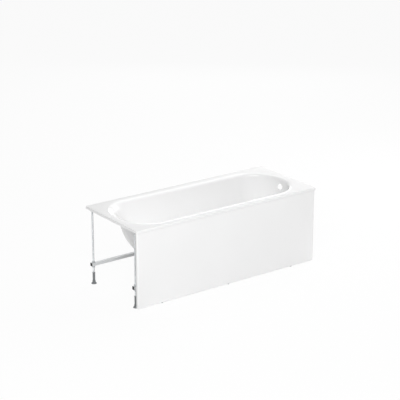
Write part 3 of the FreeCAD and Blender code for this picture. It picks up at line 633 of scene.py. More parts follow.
def glass_fibre_laminate(finishes):
    # Chopped strands rolled into resin by hand: pale strands in a creamy, slightly translucent binder,
    # bumpy to the touch. Strands are drawn 9 mm apart, coarser than real ones, so that they show.
    made, tree, place = blank_material("glass_fibre_laminate")
    strands = 0.0
    for turn in (0.4, 1.5, 2.5):
        laid = add(
            tree,
            "ShaderNodeMapping",
            {"Vector": place, "Rotation": (turn, turn * 0.7, turn), "Scale": (1.0, 0.18, 1.0)},
        )
        noise = add(
            tree,
            "ShaderNodeTexNoise",
            {"Vector": laid, "Scale": per(9), "Detail": 2.0, "Roughness": 0.6},
        )
        strands = add(tree, "ShaderNodeMath", {0: strands, 1: noise}, operation="MAXIMUM")
    strand = add(tree, "ShaderNodeMapRange", {"Value": strands, "From Min": 0.52, "From Max": 0.68})
    tints = {6: darker(finishes.laminate, 0.86), 7: list(finishes.laminate)}
    cream = add(tree, "ShaderNodeMix", {0: strand, **tints}, data_type="RGBA")
    bumps = add(tree, "ShaderNodeBump", {"Height": strand, "Strength": 0.6, "Distance": 0.0006})
    skin = add(
        tree,
        "ShaderNodeBsdfPrincipled",
        {
            "Base Color": cream.outputs[2],
            "Roughness": varied(tree, place, 14, 0.38, 0.6),
            "IOR": 1.55,
            "Normal": bumps,
        },
    )
    add(tree, "ShaderNodeOutputMaterial", {"Surface": skin})
    return made


def zinc_plated_steel(finishes):
    # Bright zinc over steel: a cool silver that is cloudy from one patch to the next.
    made, tree, place = blank_material("zinc_plated_steel")
    cloud = varied(tree, place, 6, 0.0, 1.0)
    tints = {6: darker(finishes.zinc, 0.8), 7: list(finishes.zinc)}
    silver = add(tree, "ShaderNodeMix", {0: cloud, **tints}, data_type="RGBA")
    rough = varied(tree, place, 4, 0.26, 0.42)
    skin = add(
        tree,
        "ShaderNodeBsdfPrincipled",
        {"Base Color": silver.outputs[2], "Metallic": 1.0, "Roughness": rough},
    )
    add(tree, "ShaderNodeOutputMaterial", {"Surface": skin})
    return made


def powder_coat(name, tint):
    # Powder baked onto steel tube: an even satin with a fine orange peel, drawn at 2.5 mm.
    made, tree, place = blank_material(name)
    peel = varied(tree, place, 2.5, 0.0, 1.0, detail=1.0)
    pitted = add(tree, "ShaderNodeBump", {"Height": peel, "Strength": 0.35, "Distance": 0.0001})
    tone = varied(tree, place, 120, 0.0, 1.0)
    tints = {6: darker(tint, 0.92), 7: list(tint)}
    coat = add(tree, "ShaderNodeMix", {0: tone, **tints}, data_type="RGBA")
    rough = varied(tree, place, 9, 0.36, 0.46)
    skin = add(
        tree,
        "ShaderNodeBsdfPrincipled",
        {"Base Color": coat.outputs[2], "Roughness": rough, "IOR": 1.5, "Normal": pitted},
    )
    add(tree, "ShaderNodeOutputMaterial", {"Surface": skin})
    return made


def rolled_spring_steel(finishes):
    # Cold-rolled strip: dark silver with fine marks along the rolling direction, drawn 0.8 mm apart.
    made, tree, place = blank_material("rolled_spring_steel")
    along = add(tree, "ShaderNodeMapping", {"Vector": place, "Scale": (0.05, 0.05, 1.0)})
    marks = varied(tree, along, 0.8, 0.0, 1.0)
    tints = {6: darker(finishes.spring, 0.72), 7: list(finishes.spring)}
    steel = add(tree, "ShaderNodeMix", {0: marks, **tints}, data_type="RGBA")
    rough = varied(tree, along, 1.1, 0.24, 0.38)
    skin = add(
        tree,
        "ShaderNodeBsdfPrincipled",
        {"Base Color": steel.outputs[2], "Metallic": 1.0, "Roughness": rough},
    )
    add(tree, "ShaderNodeOutputMaterial", {"Surface": skin})
    return made


def moulded_plastic(name, tint, grain):
    # Injection-moulded plastic: waxy and soft in its shine, with a spark-eroded grain.
    made, tree, place = blank_material(name)
    grit = varied(tree, place, grain, 0.0, 1.0)
    eroded = add(tree, "ShaderNodeBump", {"Height": grit, "Strength": 0.3, "Distance": 0.0001})
    tone = varied(tree, place, 18, 0.0, 1.0)
    tints = {6: darker(tint, 0.9), 7: list(tint)}
    body = add(tree, "ShaderNodeMix", {0: tone, **tints}, data_type="RGBA")
    rough = varied(tree, place, 5, 0.42, 0.56)
    skin = add(
        tree,
        "ShaderNodeBsdfPrincipled",
        {"Base Color": body.outputs[2], "Roughness": rough, "IOR": 1.49, "Normal": eroded},
    )
    add(tree, "ShaderNodeOutputMaterial", {"Surface": skin})
    return made


def pressed_chipboard(finishes):
    # Wood chips pressed in glue: flat flakes a few millimetres across, each in its own brown.
    made, tree, place = blank_material("pressed_chipboard")
    wander = add(tree, "ShaderNodeTexNoise", {"Vector": place, "Scale": per(20), "Detail": 2.0})
    shifts = {0: 0.06, 4: place, 5: wander.outputs["Color"]}
    bent = add(tree, "ShaderNodeMix", shifts, data_type="VECTOR").outputs[1]
    laid = add(tree, "ShaderNodeMapping", {"Vector": bent, "Scale": (0.55, 1.0, 1.6)})
    flakes = add(tree, "ShaderNodeTexVoronoi", {"Vector": laid, "Scale": per(5)}, feature="F1").outputs
    hue = add(tree, "ShaderNodeSeparateColor", {0: flakes["Color"]})
    tints = {6: list(finishes.dark_chips), 7: list(finishes.chips)}
    brown = add(tree, "ShaderNodeMix", {0: hue, **tints}, data_type="RGBA")
    raised = {"Height": flakes["Distance"], "Strength": 0.4, "Distance": 0.0003}
    pressed = add(tree, "ShaderNodeBump", raised)
    rough = varied(tree, place, 7, 0.62, 0.82)
    skin = add(
        tree,
        "ShaderNodeBsdfPrincipled",
        {"Base Color": brown.outputs[2], "Roughness": rough, "IOR": 1.5, "Normal": pressed},
    )
    add(tree, "ShaderNodeOutputMaterial", {"Surface": skin})
    return made


def seen_plainly(tree):
    """1 for the rays that show the background: the camera's own, and those off gloss or through glass."""
    rays = add(tree, "ShaderNodeLightPath").outputs
    seen = rays["Is Camera Ray"]
    for kind in ("Is Glossy Ray", "Is Transmission Ray"):
        seen = add(tree, "ShaderNodeMath", {0: seen, 1: rays[kind]}, operation="MAXIMUM")
    return seen


def studio_floor(settings):
    """A pale floor that reads white to the camera and keeps the shadow on it."""
    made = bpy.data.materials.new("studio_floor")
    tree = blank_tree(made)
    shares = {0: seen_plainly(tree), 1: settings.floor_lift}
    lifted = add(tree, "ShaderNodeMath", shares, operation="MULTIPLY")
    matt = add(tree, "ShaderNodeBsdfDiffuse", {"Color": list(settings.floor)})
    white = add(tree, "ShaderNodeEmission", {"Color": WHITE, "Strength": 1.0})
    mixed = add(tree, "ShaderNodeMixShader", {0: lifted, 1: matt, 2: white})
    add(tree, "ShaderNodeOutputMaterial", {"Surface": mixed})
    return made


# The tub


# Parts of a slice's roll, foot, wall, falling band, flat rim, rim's underside, edge and lip
ROLL_PARTS, FOOT_PARTS, WALL_PARTS = 14, 10, 36
FALL_PARTS, RIM_PARTS, UNDER_PARTS = 8, 3, 4
EDGE_PARTS, LIP_PARTS = 6, 5
CORNER_PARTS = 8  # of each corner of the rim seen from above
LIP_ROUND = 0.48  # share of the sheet's thickness
FALL_SHARE = 0.8  # most of the rim's width that may fall towards the bowl
FALL_EASE = 0.010  # metres in which the roll takes over from that fall
SEAT_SLOPE = 0.002  # metres by which the drain's seat narrows to its bottom
DRAIN_REACH, OVERFLOW_REACH = 0.02, 0.03  # metres that the drills go through and above the sheet
UP = Vector((0, 0, 1))
NEAR = 1e-4  # metres along a wall to either side, to find its direction
HALVINGS = 24  # of a wall's length, to find where a rounding leaves it


class BowlOutline:
    """Outline of the bowl at one level: straight sides, and at each end a gentle arc between two corners."""

    def __init__(self, head, drain, half, head_corner, drain_corner, spread):
        self.half, self.spread = half, spread
        self.corner = {-1: head_corner, 1: drain_corner}
        self.end_radius = {
            end: radius + (half - radius) / math.sin(spread) for end, radius in self.corner.items()
        }
        self.end_centre = {-1: head + self.end_radius[-1], 1: drain - self.end_radius[1]}
        self.corner_x = {
            end: self.end_centre[end] + end * (self.end_radius[end] - self.corner[end]) * math.cos(spread)
            for end in (-1, 1)
        }

    def nearest(self, point):
        """The run of the outline nearest to a point outside it, and how far along that run."""
        x, y = point.x, abs(point.y)
        if self.corner_x[-1] <= x <= self.corner_x[1]:
            return "side", (x - self.corner_x[-1]) / (self.corner_x[1] - self.corner_x[-1])
        end = 1 if x > 0 else -1
        turn = math.atan2(end * (x - self.corner_x[end]), y - (self.half - self.corner[end]))
        if turn <= math.pi / 2 - self.spread:
            return ("corner", end), turn
        return ("end", end), math.atan2(y, end * (x - self.end_centre[end]))

    def at(self, run, along, side):
        """Point on the outline and its outward direction."""
        if run == "side":
            x = self.corner_x[-1] + along * (self.corner_x[1] - self.corner_x[-1])
            return Vector((x, side * self.half)), Vector((0, side))
        kind, end = run
        if kind == "corner":
            out = Vector((end * math.sin(along), math.cos(along)))
            point = Vector((self.corner_x[end], self.half - self.corner[end])) + out * self.corner[end]
        else:
            out = Vector((end * math.cos(along), math.sin(along)))
            point = Vector((self.end_centre[end], 0)) + out * self.end_radius[end]
        return Vector((point.x, side * point.y)), Vector((out.x, side * out.y))


def rim_outline(half_length, half_width, corner, step):
    """Points along the rim's outside and their outward directions, anticlockwise."""
    made = []
    centres = [(1, 1), (-1, 1), (-1, -1), (1, -1)]
    for quarter, (x, y) in enumerate(centres):
        centre = Vector((x * (half_length - corner), y * (half_width - corner)))
        for part in range(CORNER_PARTS + 1):
            turn = (quarter + part / CORNER_PARTS) * math.pi / 2
            out = Vector((math.cos(turn), math.sin(turn)))
            made.append((centre + out * corner, out))
        after = centres[(quarter + 1) % 4]
        target = Vector((after[0] * (half_length - corner), after[1] * (half_width - corner)))
        target += out * corner
        start = made[-1][0]
        count = round((target - start).length / step)
        made += [(start.lerp(target, index / count), out) for index in range(1, count)]
    return made


def bowl_levels(sizes, half_length, half_width, depth, skin):
    """Depth and outline of the bowl at each level from its mouth down, grown by a skin."""
    course = [
        (0.0, 0.0),
        (sizes.brow_drop, sizes.brow_run),
        (sizes.back_drop, sizes.back_run),
        (sizes.sweep_drop, sizes.sweep_run),
        (1.0, 1.0),
    ]
    levels = []
    for drop, run in course:
        outline = BowlOutline(
            -half_length + sizes.head_rim + run * sizes.head_run - skin,
            half_length - sizes.drain_rim - drop * sizes.drain_run + skin,
            half_width - sizes.side_rim - drop * sizes.side_run + skin,
            sizes.head_corner + drop * (sizes.floor_corner - sizes.head_corner) + skin,
            sizes.drain_corner + drop * (sizes.floor_corner - sizes.drain_corner) + skin,
            sizes.end_half_angle,
        )
        levels.append((drop * (depth + skin), outline))
    return levels


class WallCourse:
    """Smooth course of the bowl's wall down through a point at each level, in one slice of the tub."""

    def __init__(self, points, out):
        self.points, self.out = points, out
        self.reach = [0.0]
        for above, below in zip(points, points[1:]):
            self.reach.append(self.reach[-1] + (below - above).length)

    def at(self, along):
        place = Vector((0, 0, 0))
        for here, point in zip(self.reach, self.points):
            others = [other for other in self.reach if other != here]
            place += point * math.prod((along - other) / (here - other) for other in others)
        return place

    def normal(self, along):
        """Outward and downward parts of the direction square to the wall."""
        ahead = self.at(along + NEAR) - self.at(along - NEAR)
        return Vector((ahead.z, -ahead.xy.dot(self.out))).normalized()

    def touch(self, start, end, depth, radius):
        """Where a rounding leaves the wall for a level plane; the radius is negative inside the bowl."""
        for _ in range(HALVINGS):
            middle = (start + end) / 2
            past = self.at(middle).z + radius * self.normal(middle).y > depth + radius
            start, end = (start, middle) if past else (middle, end)
        return start

    def rounding(self, along, radius, level, parts):
        """Points of the arc between the wall and a level plane, starting at the wall."""
        across, down = self.normal(along)
        start, point = math.atan2(down, across), self.at(along)
        made = []
        for part in range(parts + 1):
            turn = start + (math.pi / 2 - start) * part / parts
            away = radius * (across - math.cos(turn))
            side = point.xy + self.out * away
            made.append(Vector((*side, level + radius * (1 - math.sin(turn)))))
        return made


def wall_section(points, out, rim, floor):
    """Points up the wall of the bowl, from its floor to its rim; both ends are a depth and a rounding."""
    course = WallCourse(points, out)
    middle, end = course.reach[-1] / 2, course.reach[-1]
    high = course.touch(0.0, middle, *rim)
    low = course.touch(middle, end, floor[0], -floor[1])
    foot = course.rounding(low, -floor[1], floor[0], FOOT_PARTS)
    roll = course.rounding(high, rim[1], rim[0], ROLL_PARTS)
    wall = [course.at(low + (high - low) * part / WALL_PARTS) for part in range(1, WALL_PARTS)]
    return foot[::-1] + wall + roll


def eased_roll(places, rim_start, band, sizes):
    """The rolled edge lowered to meet a rim that falls towards the bowl over a band of its width."""
    made = []
    for part, place in enumerate(places):
        inward = (rim_start.xy - place.xy).length
        drop = sizes.rim_fall * (band / 2 + inward * math.exp(-inward / FALL_EASE))
        to_wall = 1 - part / (len(places) - 1)
        keep = 1 - to_wall**2 * (3 - 2 * to_wall)
        made.append(place - Vector((0, 0, drop * keep)))
    return made


def between(start, end, count):
    """Points that part a straight run, without its ends."""
    return [start.lerp(end, part / count) for part in range(1, count)]


def quarter_turn(parts):
    """Angles from nought to a right angle."""
    return [math.pi / 2 * part / parts for part in range(parts + 1)]


def lip_section(edge, out, sizes, rim_top):
    """Points from the rim's flat round its edge and the lip, and the corner under the rim behind it."""
    low, rounding = rim_top - sizes.lip_height, sizes.sheet * LIP_ROUND
    course = []
    for turn in quarter_turn(EDGE_PARTS):
        drop = sizes.rim_edge * (1 - math.cos(turn))
        course.append((sizes.rim_edge * (1 - math.sin(turn)), rim_top - drop))
    for turn in quarter_turn(LIP_PARTS):
        course.append((rounding * (1 - math.cos(turn)), low + rounding * (1 - math.sin(turn))))
    for turn in quarter_turn(LIP_PARTS):
        inset = sizes.sheet - rounding * (1 - math.sin(turn))
        course.append((inset, low + rounding * (1 - math.cos(turn))))
    course.append((sizes.sheet, rim_top - sizes.sheet))
    *lip, corner = [Vector((*(edge - out * inset), height)) for inset, height in course]
    return lip, corner


def tub_section(edge, out, sizes, rim_top, depth, inner, outer):
    """One slice of the tub: bowl floor, wall, rim, lip, and back under to the floor's underside."""
    run, along = inner[0][1].nearest(edge)
    side = 1 if edge.y >= 0 else -1
    away = inner[0][1].at(run, along, side)[1]

    def wall(levels, skin):
        points = [Vector((*outline.at(run, along, side)[0], deep)) for deep, outline in levels]
        rim, floor = (skin, sizes.roll_radius - skin), (depth + skin, sizes.floor_round + skin)
        made = wall_section(points, away, rim, floor)
        return [Vector((place.x, place.y, rim_top - place.z)) for place in made]

    inside, outside = wall(inner, 0.0), wall(outer, sizes.sheet)
    lip, corner = lip_section(edge, out, sizes, rim_top)
    rim_start, rim_width = inside[-1], (lip[0] - inside[-1]).length
    band = min(sizes.fall_width, FALL_SHARE * rim_width)
    shares = [part / FALL_PARTS for part in range(1, FALL_PARTS + 1)]
    fall = [rim_start.lerp(lip[0], band / rim_width * share_out) for share_out in shares]
    for place in fall:
        place.z -= sizes.rim_fall / 2 / band * (band - (place - rim_start).length) ** 2
    roll = ROLL_PARTS + 1
    inside[-roll:] = eased_roll(inside[-roll:], rim_start, band, sizes)
    show = inside + fall + between(fall[-1], lip[0], RIM_PARTS) + lip
    hidden = [corner] + between(corner, outside[-1], UNDER_PARTS) + outside[::-1]
    return show, hidden


def drilled(thing, mount, place, axis, edge, reach):
    """Drills a mount's hole from a place on the surface, with a flare that eases the hole's edge."""
    radius = mount["dims"]["r_mm"] / 1000
    profile = [(0, -reach), (radius, -reach), (radius, -edge), (radius + edge, 0)]
    profile += [(radius + edge + reach, reach), (0, reach)]
    drill = turned("drill", profile, FINE_SIDES)
    turn = UP.rotation_difference(axis).to_matrix().to_4x4()
    drill.data.transform(Matrix.Translation(place) @ turn)
    return cut_by(thing, drill)


def form_tub(sizes, finishes):
    low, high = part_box("tub_shell")
    half_length, half_width = high.x, high.y
    rim_top, floor_top = high.z, low.z + sizes.sheet
    depth = rim_top - floor_top
    inner = bowl_levels(sizes, half_length, half_width, depth, 0.0)
    outer = bowl_levels(sizes, half_length, half_width, depth, sizes.sheet)
    sections = [
        tub_section(edge, out, sizes, rim_top, depth, inner, outer)
        for edge, out in rim_outline(half_length, half_width, sizes.rim_corner, sizes.step)
    ]
    show_count = len(sections[0][0])
    work = bmesh.new()
    slices = [[work.verts.new(place) for place in show + hidden] for show, hidden in sections]
    rings = list(zip(*slices))
    for index, (first, second) in enumerate(zip(rings, rings[1:])):
        for step in range(len(first)):
            after = (step + 1) % len(first)
            face = work.faces.new((first[step], first[after], second[after], second[step]))
            face.material_index = 0 if index < show_count else 1
    work.faces.new(rings[0]).material_index = 0
    work.faces.new(rings[-1]).material_index = 1
    bmesh.ops.recalc_face_normals(work, faces=work.faces)
    tub = shown("tub", mesh_of("tub", work))

    drain, radius, deep = MOUNTS["drain_hole"], sizes.seat_radius, sizes.seat_depth
    seat = Vector((*drain["pos_m"][:2], floor_top))
    profile = [(0, -deep), (radius - SEAT_SLOPE, -deep), (radius, 0), (radius + deep, deep), (0, deep)]
    recess = turned("recess", profile, FINE_SIDES)
    recess.data.transform(Matrix.Translation(seat))
    cut_by(tub, recess)
    seat.z = floor_top - deep
    drilled(tub, drain, seat, UP, sizes.hole_edge, DRAIN_REACH)
    overflow = MOUNTS["overflow_hole"]
    axis = Vector(overflow["axis"]).normalized()
    face = Vector(overflow["pos_m"]) + axis * (overflow["dims"]["length_mm"] / 2000)
    drilled(tub, overflow, face, axis, sizes.hole_edge, OVERFLOW_REACH)
    smoothed(tub)
    acrylic, laminate = gloss_cast_acrylic(finishes), glass_fibre_laminate(finishes)
    handed_over(tub, BATH, "white_acrylic", ["tub_shell"], acrylic, laminate)


# The panel


TOUCH = 1e-6  # metres within which two places are one
UPRIGHT_PARTS, LEVEL_PARTS = 10, 6  # of the panel's rounded edges


def form_panel(sizes):
    low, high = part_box("front_panel")
    size, middle = high - low, (high + low) / 2
    work = bmesh.new()
    shape = Matrix.Translation(middle) @ Matrix.Diagonal((*size, 1.0))
    bmesh.ops.create_cube(work, size=1.0, matrix=shape)
    back = [f for f in work.faces if f.calc_center_median().y > high.y - TOUCH]
    bmesh.ops.delete(work, geom=back, context="FACES_ONLY")

    def rounded(edges, radius, segments):
        bmesh.ops.bevel(
            work,
            geom=edges,
            offset=radius,
            offset_type="OFFSET",
            segments=segments,
            profile=0.5,
            affect="EDGES",
            clamp_overlap=False,
        )

    def is_upright(edge):
        middle_of = (edge.verts[0].co + edge.verts[1].co) / 2
        return abs(middle_of.y - low.y) < TOUCH and abs(abs(middle_of.x) - high.x) < TOUCH

    def is_level(edge):
        first, second = (vert.co.z for vert in edge.verts)
        at_end = min(abs(first - low.z), abs(first - high.z)) < TOUCH
        return not edge.is_boundary and at_end and abs(first - second) < TOUCH

    rounded([e for e in work.edges if is_upright(e)], sizes.panel_edge, UPRIGHT_PARTS)
    rounded([e for e in work.edges if is_level(e)], sizes.panel_low_edge, LEVEL_PARTS)
    bmesh.ops.recalc_face_normals(work, faces=work.faces)
    front = min(work.faces, key=lambda face: face.calc_center_median().y)
    if front.normal.y > 0:
        bmesh.ops.reverse_faces(work, faces=work.faces)
    panel = shown("panel_sheet", mesh_of("panel_sheet", work))
    wall = panel.modifiers.new("wall", "SOLIDIFY")
    wall.thickness = sizes.panel_sheet
    wall.offset = -1.0
    wall.use_even_offset = True
    smoothed(settle(panel))
    acrylic = bpy.data.materials["gloss_cast_acrylic"]
    handed_over(panel, PANEL, "white_acrylic", ["front_panel"], acrylic)


# The frame


HEXAGON = math.cos(math.pi / 6)  # width over a hexagon's flats, for one over its corners
THREAD_ROWS = 4  # rows of faces to each turn of a thread
CLEAR = 1.004  # a turning blank's radius for a hexagon's corners, so that their sides don't meet
NUT_FACE = 0.955  # a nut's round face for the width over its flats
WASHER_BLANK, WASHER_FACE = 1.01, 0.975  # a washer's blank and its face for its radius
RECESS = 0.12  # width of a screw's cross recess for its head's width
RIVET_DOME = 0.4  # height of a rivet's head for its radius


def cut_threads(sizes, finishes):
    zinc = zinc_plated_steel(finishes)
    tree = threaded_rod_tree()
    for kind, name in (("post", "threaded_posts"), ("stud", "threaded_studs")):
        nodes = [rod for rod in RODS if rod.startswith(kind)]
        boxes = [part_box(node) for node in nodes]
        width, _, height = spans(boxes[0])
        rods = grown(
            name,
            tree,
            [(low + high) / 2 for low, high in boxes],
            length=height,
            crest_radius=width / 2,
            depth=sizes.thread_depth,
            pitch=sizes.thread_pitch,
            columns=sizes.thread_columns,
            rows_per_pitch=THREAD_ROWS,
            material=zinc,
        )
        handed_over(rods, BATH, "zinc_steel", nodes, zinc)


def set_in_zinc(name, tree, node, points, **values):
    """A set of like fasteners, grown on the points in place of a CAD node."""
    zinc = bpy.data.materials["zinc_plated_steel"]
    made = smoothed(grown(name, tree, points, material=zinc, **values))
    handed_over(made, BATH, "zinc_steel", [node], zinc)


def set_fasteners(sizes):
    blank, pin = bored_blank_tree(), headed_pin_tree()
    nuts = islands("frame_nuts")
    *across, height = spans(nuts[0])
    flats = min(across)
    corner = flats / 2 / HEXAGON
    set_in_zinc(
        "hexagon_nuts",
        blank,
        "frame_nuts",
        [(low + high) / 2 for low, high in nuts],
        sides=6,
        prism_radius=corner,
        turned_radius=corner * CLEAR,
        face_radius=flats / 2 * NUT_FACE,
        height=height,
        chamfer=sizes.nut_chamfer,
        bore=sizes.rod_bore,
    )
    washers = islands("frame_washers")
    width, _, height = spans(washers[0])
    set_in_zinc(
        "flat_washers",
        blank,
        "frame_washers",
        [(low + high) / 2 for low, high in washers],
        sides=FINE_SIDES,
        prism_radius=width / 2 * WASHER_BLANK,
        turned_radius=width / 2,
        face_radius=width / 2 * WASHER_FACE,
        height=height,
        chamfer=sizes.tube_edge,
        bore=sizes.washer_bore,
    )
    bar_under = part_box("cross_bar_head")[0].z
    screws = islands("board_screws")
    width = spans(screws[0])[0]
    set_in_zinc(
        "board_screw_set",
        pin,
        "board_screws",
        [Vector(((low.x + high.x) / 2, (low.y + high.y) / 2, bar_under)) for low, high in screws],
        head_radius=width / 2,
        head_height=bar_under - screws[0][0].z,
        shank_radius=width / 4,
        shank_length=screws[0][1].z - bar_under,
        recess_width=width * RECESS,
        turn=(math.pi, 0.0, 0.0),
    )
    rivets = islands("catch_rivets")
    clip_face = min(low.y for low, high in rivets)
    radius = spans(rivets[0])[0] / 2
    head = radius * RIVET_DOME
    set_in_zinc(
        "catch_rivet_set",
        pin,
        "catch_rivets",
        [Vector(((low.x + high.x) / 2, clip_face + head, (low.z + high.z) / 2)) for low, high in rivets],
        head_radius=radius,
        head_height=head,
        shank_radius=radius / 2,
        shank_length=rivets[0][1].y - clip_face - head,
        recess_width=0.0,
        turn=(math.pi / 2, 0.0, 0.0),
    )


def run_tubes(sizes, finishes):
    grey = powder_coat("grey_powder_coat", finishes.rail_coat)
    dark = powder_coat("dark_powder_coat", finishes.bar_coat)
    for node in ("rail_front", "rail_back"):
        tube = softened(f"{node}_tube", node, sizes.tube_edge)
        handed_over(tube, BATH, "coated_steel", [node], grey)
    for node in ("cross_bar_head", "cross_bar_drain"):
        tube = softened(f"{node}_tube", node, sizes.tube_edge)
        handed_over(tube, BATH, "dark_coated_steel", [node], dark)


# Mouldings and boards


# Sizes of a foot that the boxes of its pieces don't give, in metres
PIVOT_GAP = 0.0001  # between the sleeve's pivot and the pad's socket
HEAD_GAP = 0.0003  # between the pad and the head that turns on it
KEY_CHAMFER = 0.0012  # on the corners of the hexagon head
COLLAR_SLOPE, COLLAR = 0.008, 0.007  # from the sleeve's top down to the collar's slope and its rim
BORE_FLOOR = 0.018  # from the ground up to the end of the bore
PAST = 0.001  # that a cutting shape goes past the face it cuts
SOCKET = 0.385  # the pad's socket for the pad's radius
NECK, KEY_FACE = 10 / 12, 0.99  # the sleeve's neck and its head's round face for the head's flats


def foot_pad(radius, height, socket, pivot, edge):
    """A pad with a level rim, a sloping top and a socket that is open down to the pivot."""
    top, rim = radius * 2 / 3, height / 3
    profile = [(0, 0), (radius - edge, 0), (radius, edge), (radius, rim - edge), (radius - edge, rim)]
    profile += [(top + edge, height - edge), (top - edge / 2, height)]
    profile += [(socket + edge, height), (socket, height - edge), (socket, pivot), (0, pivot)]
    return turned("pad", profile, FINE_SIDES)


def foot_sleeve(flats, socket, pivot, head_height, top, sizes):
    """A sleeve with a pivot, a hexagon head, a neck with a collar and a bore from above."""
    # The body, the head and the bore share no face and no side, so that they join cleanly
    edge, bore = sizes.moulded_edge, sizes.rod_bore
    corner, neck = flats / 2 / HEXAGON, flats / 2 * NECK
    stub, shoulder = socket - PIVOT_GAP, head_height + HEAD_GAP
    head_top, in_head = shoulder + head_height, shoulder + head_height / 2
    profile = [(0, pivot), (stub - edge, pivot), (stub, pivot + edge), (stub, in_head)]
    profile += [(neck, in_head), (neck, top - COLLAR_SLOPE), (neck + edge, top - COLLAR)]
    sleeve = turned("sleeve", profile + [(neck + edge, top - edge), (neck, top), (0, top)])
    sleeve.data.transform(Matrix.Rotation(math.pi / TURNED_SIDES, 4, "Z"))
    face, lathe_radius = flats / 2 * KEY_FACE, corner * CLEAR
    profile = [(0, shoulder), (face, shoulder), (lathe_radius, shoulder + KEY_CHAMFER)]
    profile += [(lathe_radius, head_top - KEY_CHAMFER), (face, head_top), (0, head_top)]
    lathe = turned("lathe", profile)
    low, high = shoulder - PAST, head_top + PAST
    key = turned("key", [(0, low), (corner, low), (corner, high), (0, high)], segments=6)
    cut_by(sleeve, cut_by(key, lathe, "INTERSECT"), "UNION")
    profile = [(0, BORE_FLOOR), (bore, BORE_FLOOR), (bore, top - edge), (bore + edge, top)]
    return cut_by(sleeve, turned("drill", profile + [(bore + edge, top + PAST), (0, top + PAST)]))


def mould_feet(sizes, finishes):
    grey = moulded_plastic("grey_polypropylene", finishes.grey_plastic, 1.2)
    pad_box, sleeve_box = (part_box(f"foot_{kind}_{RODS[0]}") for kind in ("pad", "sleeve"))
    width, _, height = spans(pad_box)
    pivot, top = (corner.z - pad_box[0].z for corner in sleeve_box)
    socket = width / 2 * SOCKET
    patterns = {
        "pad": foot_pad(width / 2, height, socket, pivot, sizes.moulded_edge),
        "sleeve": foot_sleeve(min(spans(sleeve_box)[:2]), socket, pivot, height, top, sizes),
    }
    for rod in RODS:
        low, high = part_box(f"foot_pad_{rod}")
        place = Matrix.Translation(((low.x + high.x) / 2, (low.y + high.y) / 2, low.z))
        for kind, pattern in patterns.items():
            mesh = pattern.data.copy()
            mesh.transform(place)
            foot = smoothed(shown(f"{kind}_of_{rod}", mesh))
            handed_over(foot, f"{kind}_{rod}", "grey_plastic", [f"foot_{kind}_{rod}"], grey)
    for pattern in patterns.values():
        bpy.data.objects.remove(pattern)


def mould_small_parts(sizes, finishes):
    grey = bpy.data.materials["grey_polypropylene"]
    black = moulded_plastic("black_polyethylene", finishes.black_plastic, 1.0)
    for node in ("rim_caps", "rail_plugs", "cross_bar_plugs"):
        part = softened(f"{node}_set", node, sizes.moulded_edge)
        handed_over(part, BATH, "black_plastic", [node], black)
    for node in ("panel_glides", "catch_tongues"):
        part = softened(f"{node}_set", node, sizes.moulded_edge)
        handed_over(part, PANEL, "grey_plastic", [node], grey)


def lay_boards(sizes, finishes):
    chipboard = pressed_chipboard(finishes)
    board = softened("floor_board", "base_board", sizes.board_edge)
    handed_over(board, BATH, "board", ["base_board"], chipboard)
    battens = softened("stiffening_battens", "panel_battens", sizes.board_edge)
    handed_over(battens, PANEL, "board", ["panel_battens"], chipboard)


def bend_clips(sizes, finishes):
    steel = rolled_spring_steel(finishes)
    clips = softened("spring_clips", "catch_clips", sizes.steel_edge, angle=math.radians(60))
    handed_over(clips, BATH, "spring_steel", ["catch_clips"], steel)


# The studio


# Name, power setting, place, width and height of each lamp, in metres; all face the tub's middle
LAMPS = (
    ("front_light", "front_power", (-4.0, -5.0, 4.5), 4.0, 4.0),
    ("back_light", "back_power", (2.5, 2.5, 4.5), 3.5, 3.5),
    ("side_light", "side_power", (3.6, -0.5, 3.2), 4.5, 4.5),
    ("end_light", "end_power", (3.4, 0.3, 1.8), 2.0, 1.4),
    ("strip_light", "strip_power", (4.3, 5.2, 1.45), 3.6, 1.1),
)
FLOOR_REACH = 60.0  # metres from the floor's middle to its edges
VIEW_REACH = 200.0  # metres as far as the camera sees


def soft_light(name, power, place, width, height, target):
    lamp = bpy.data.lights.new(name, "AREA")
    lamp.shape = "RECTANGLE"
    lamp.size, lamp.size_y = width, height
    lamp.energy = power
    made = shown(name, lamp)
    made.location = place
    made.rotation_euler = (target - Vector(place)).to_track_quat("-Z", "Y").to_euler()


def set_stage(settings):
    scene = bpy.context.scene
    scene.view_settings.view_transform = "Standard"

    work = bmesh.new()
    bmesh.ops.create_grid(work, x_segments=1, y_segments=1, size=FLOOR_REACH)
    floor = shown("floor", mesh_of("floor", work))
    floor.data.materials.append(studio_floor(settings))

    scene.world = bpy.data.worlds.new("studio")
    tree = blank_tree(scene.world)
    even = add(tree, "ShaderNodeBackground", {"Color": WHITE, "Strength": settings.sky})
    white = add(tree, "ShaderNodeBackground", {"Color": WHITE, "Strength": 1.0})
    mixed = add(tree, "ShaderNodeMixShader", {0: seen_plainly(tree), 1: even, 2: white})
    add(tree, "ShaderNodeOutputWorld", {"Surface": mixed})

    middle = (CAD_BOX[0] + CAD_BOX[1]) / 2
    for name, power, place, width, height in LAMPS:
        soft_light(name, getattr(settings, power), place, width, height, middle)

    camera = shown("camera", bpy.data.cameras.new("camera"))
    camera.data.sensor_width = SENSOR
    camera.data.lens = settings.focal_pixels / IMAGE_SIDE * SENSOR
    camera.data.clip_end = VIEW_REACH
    camera.location = settings.camera_place
    camera.rotation_euler = (math.pi / 2 - settings.camera_dip, 0.0, -settings.camera_turn)
    scene.camera = camera


# Operators and panel


class BATH_OT_form_tub(bpy.types.Operator):
    """Form the tub's acrylic shell over the CAD shell"""

    bl_idname = "bath.form_tub"
    bl_label = "Form the tub"

    def execute(self, context):
        form_tub(context.scene.tub_sizes, context.scene.bath_finishes)
        return {"FINISHED"}


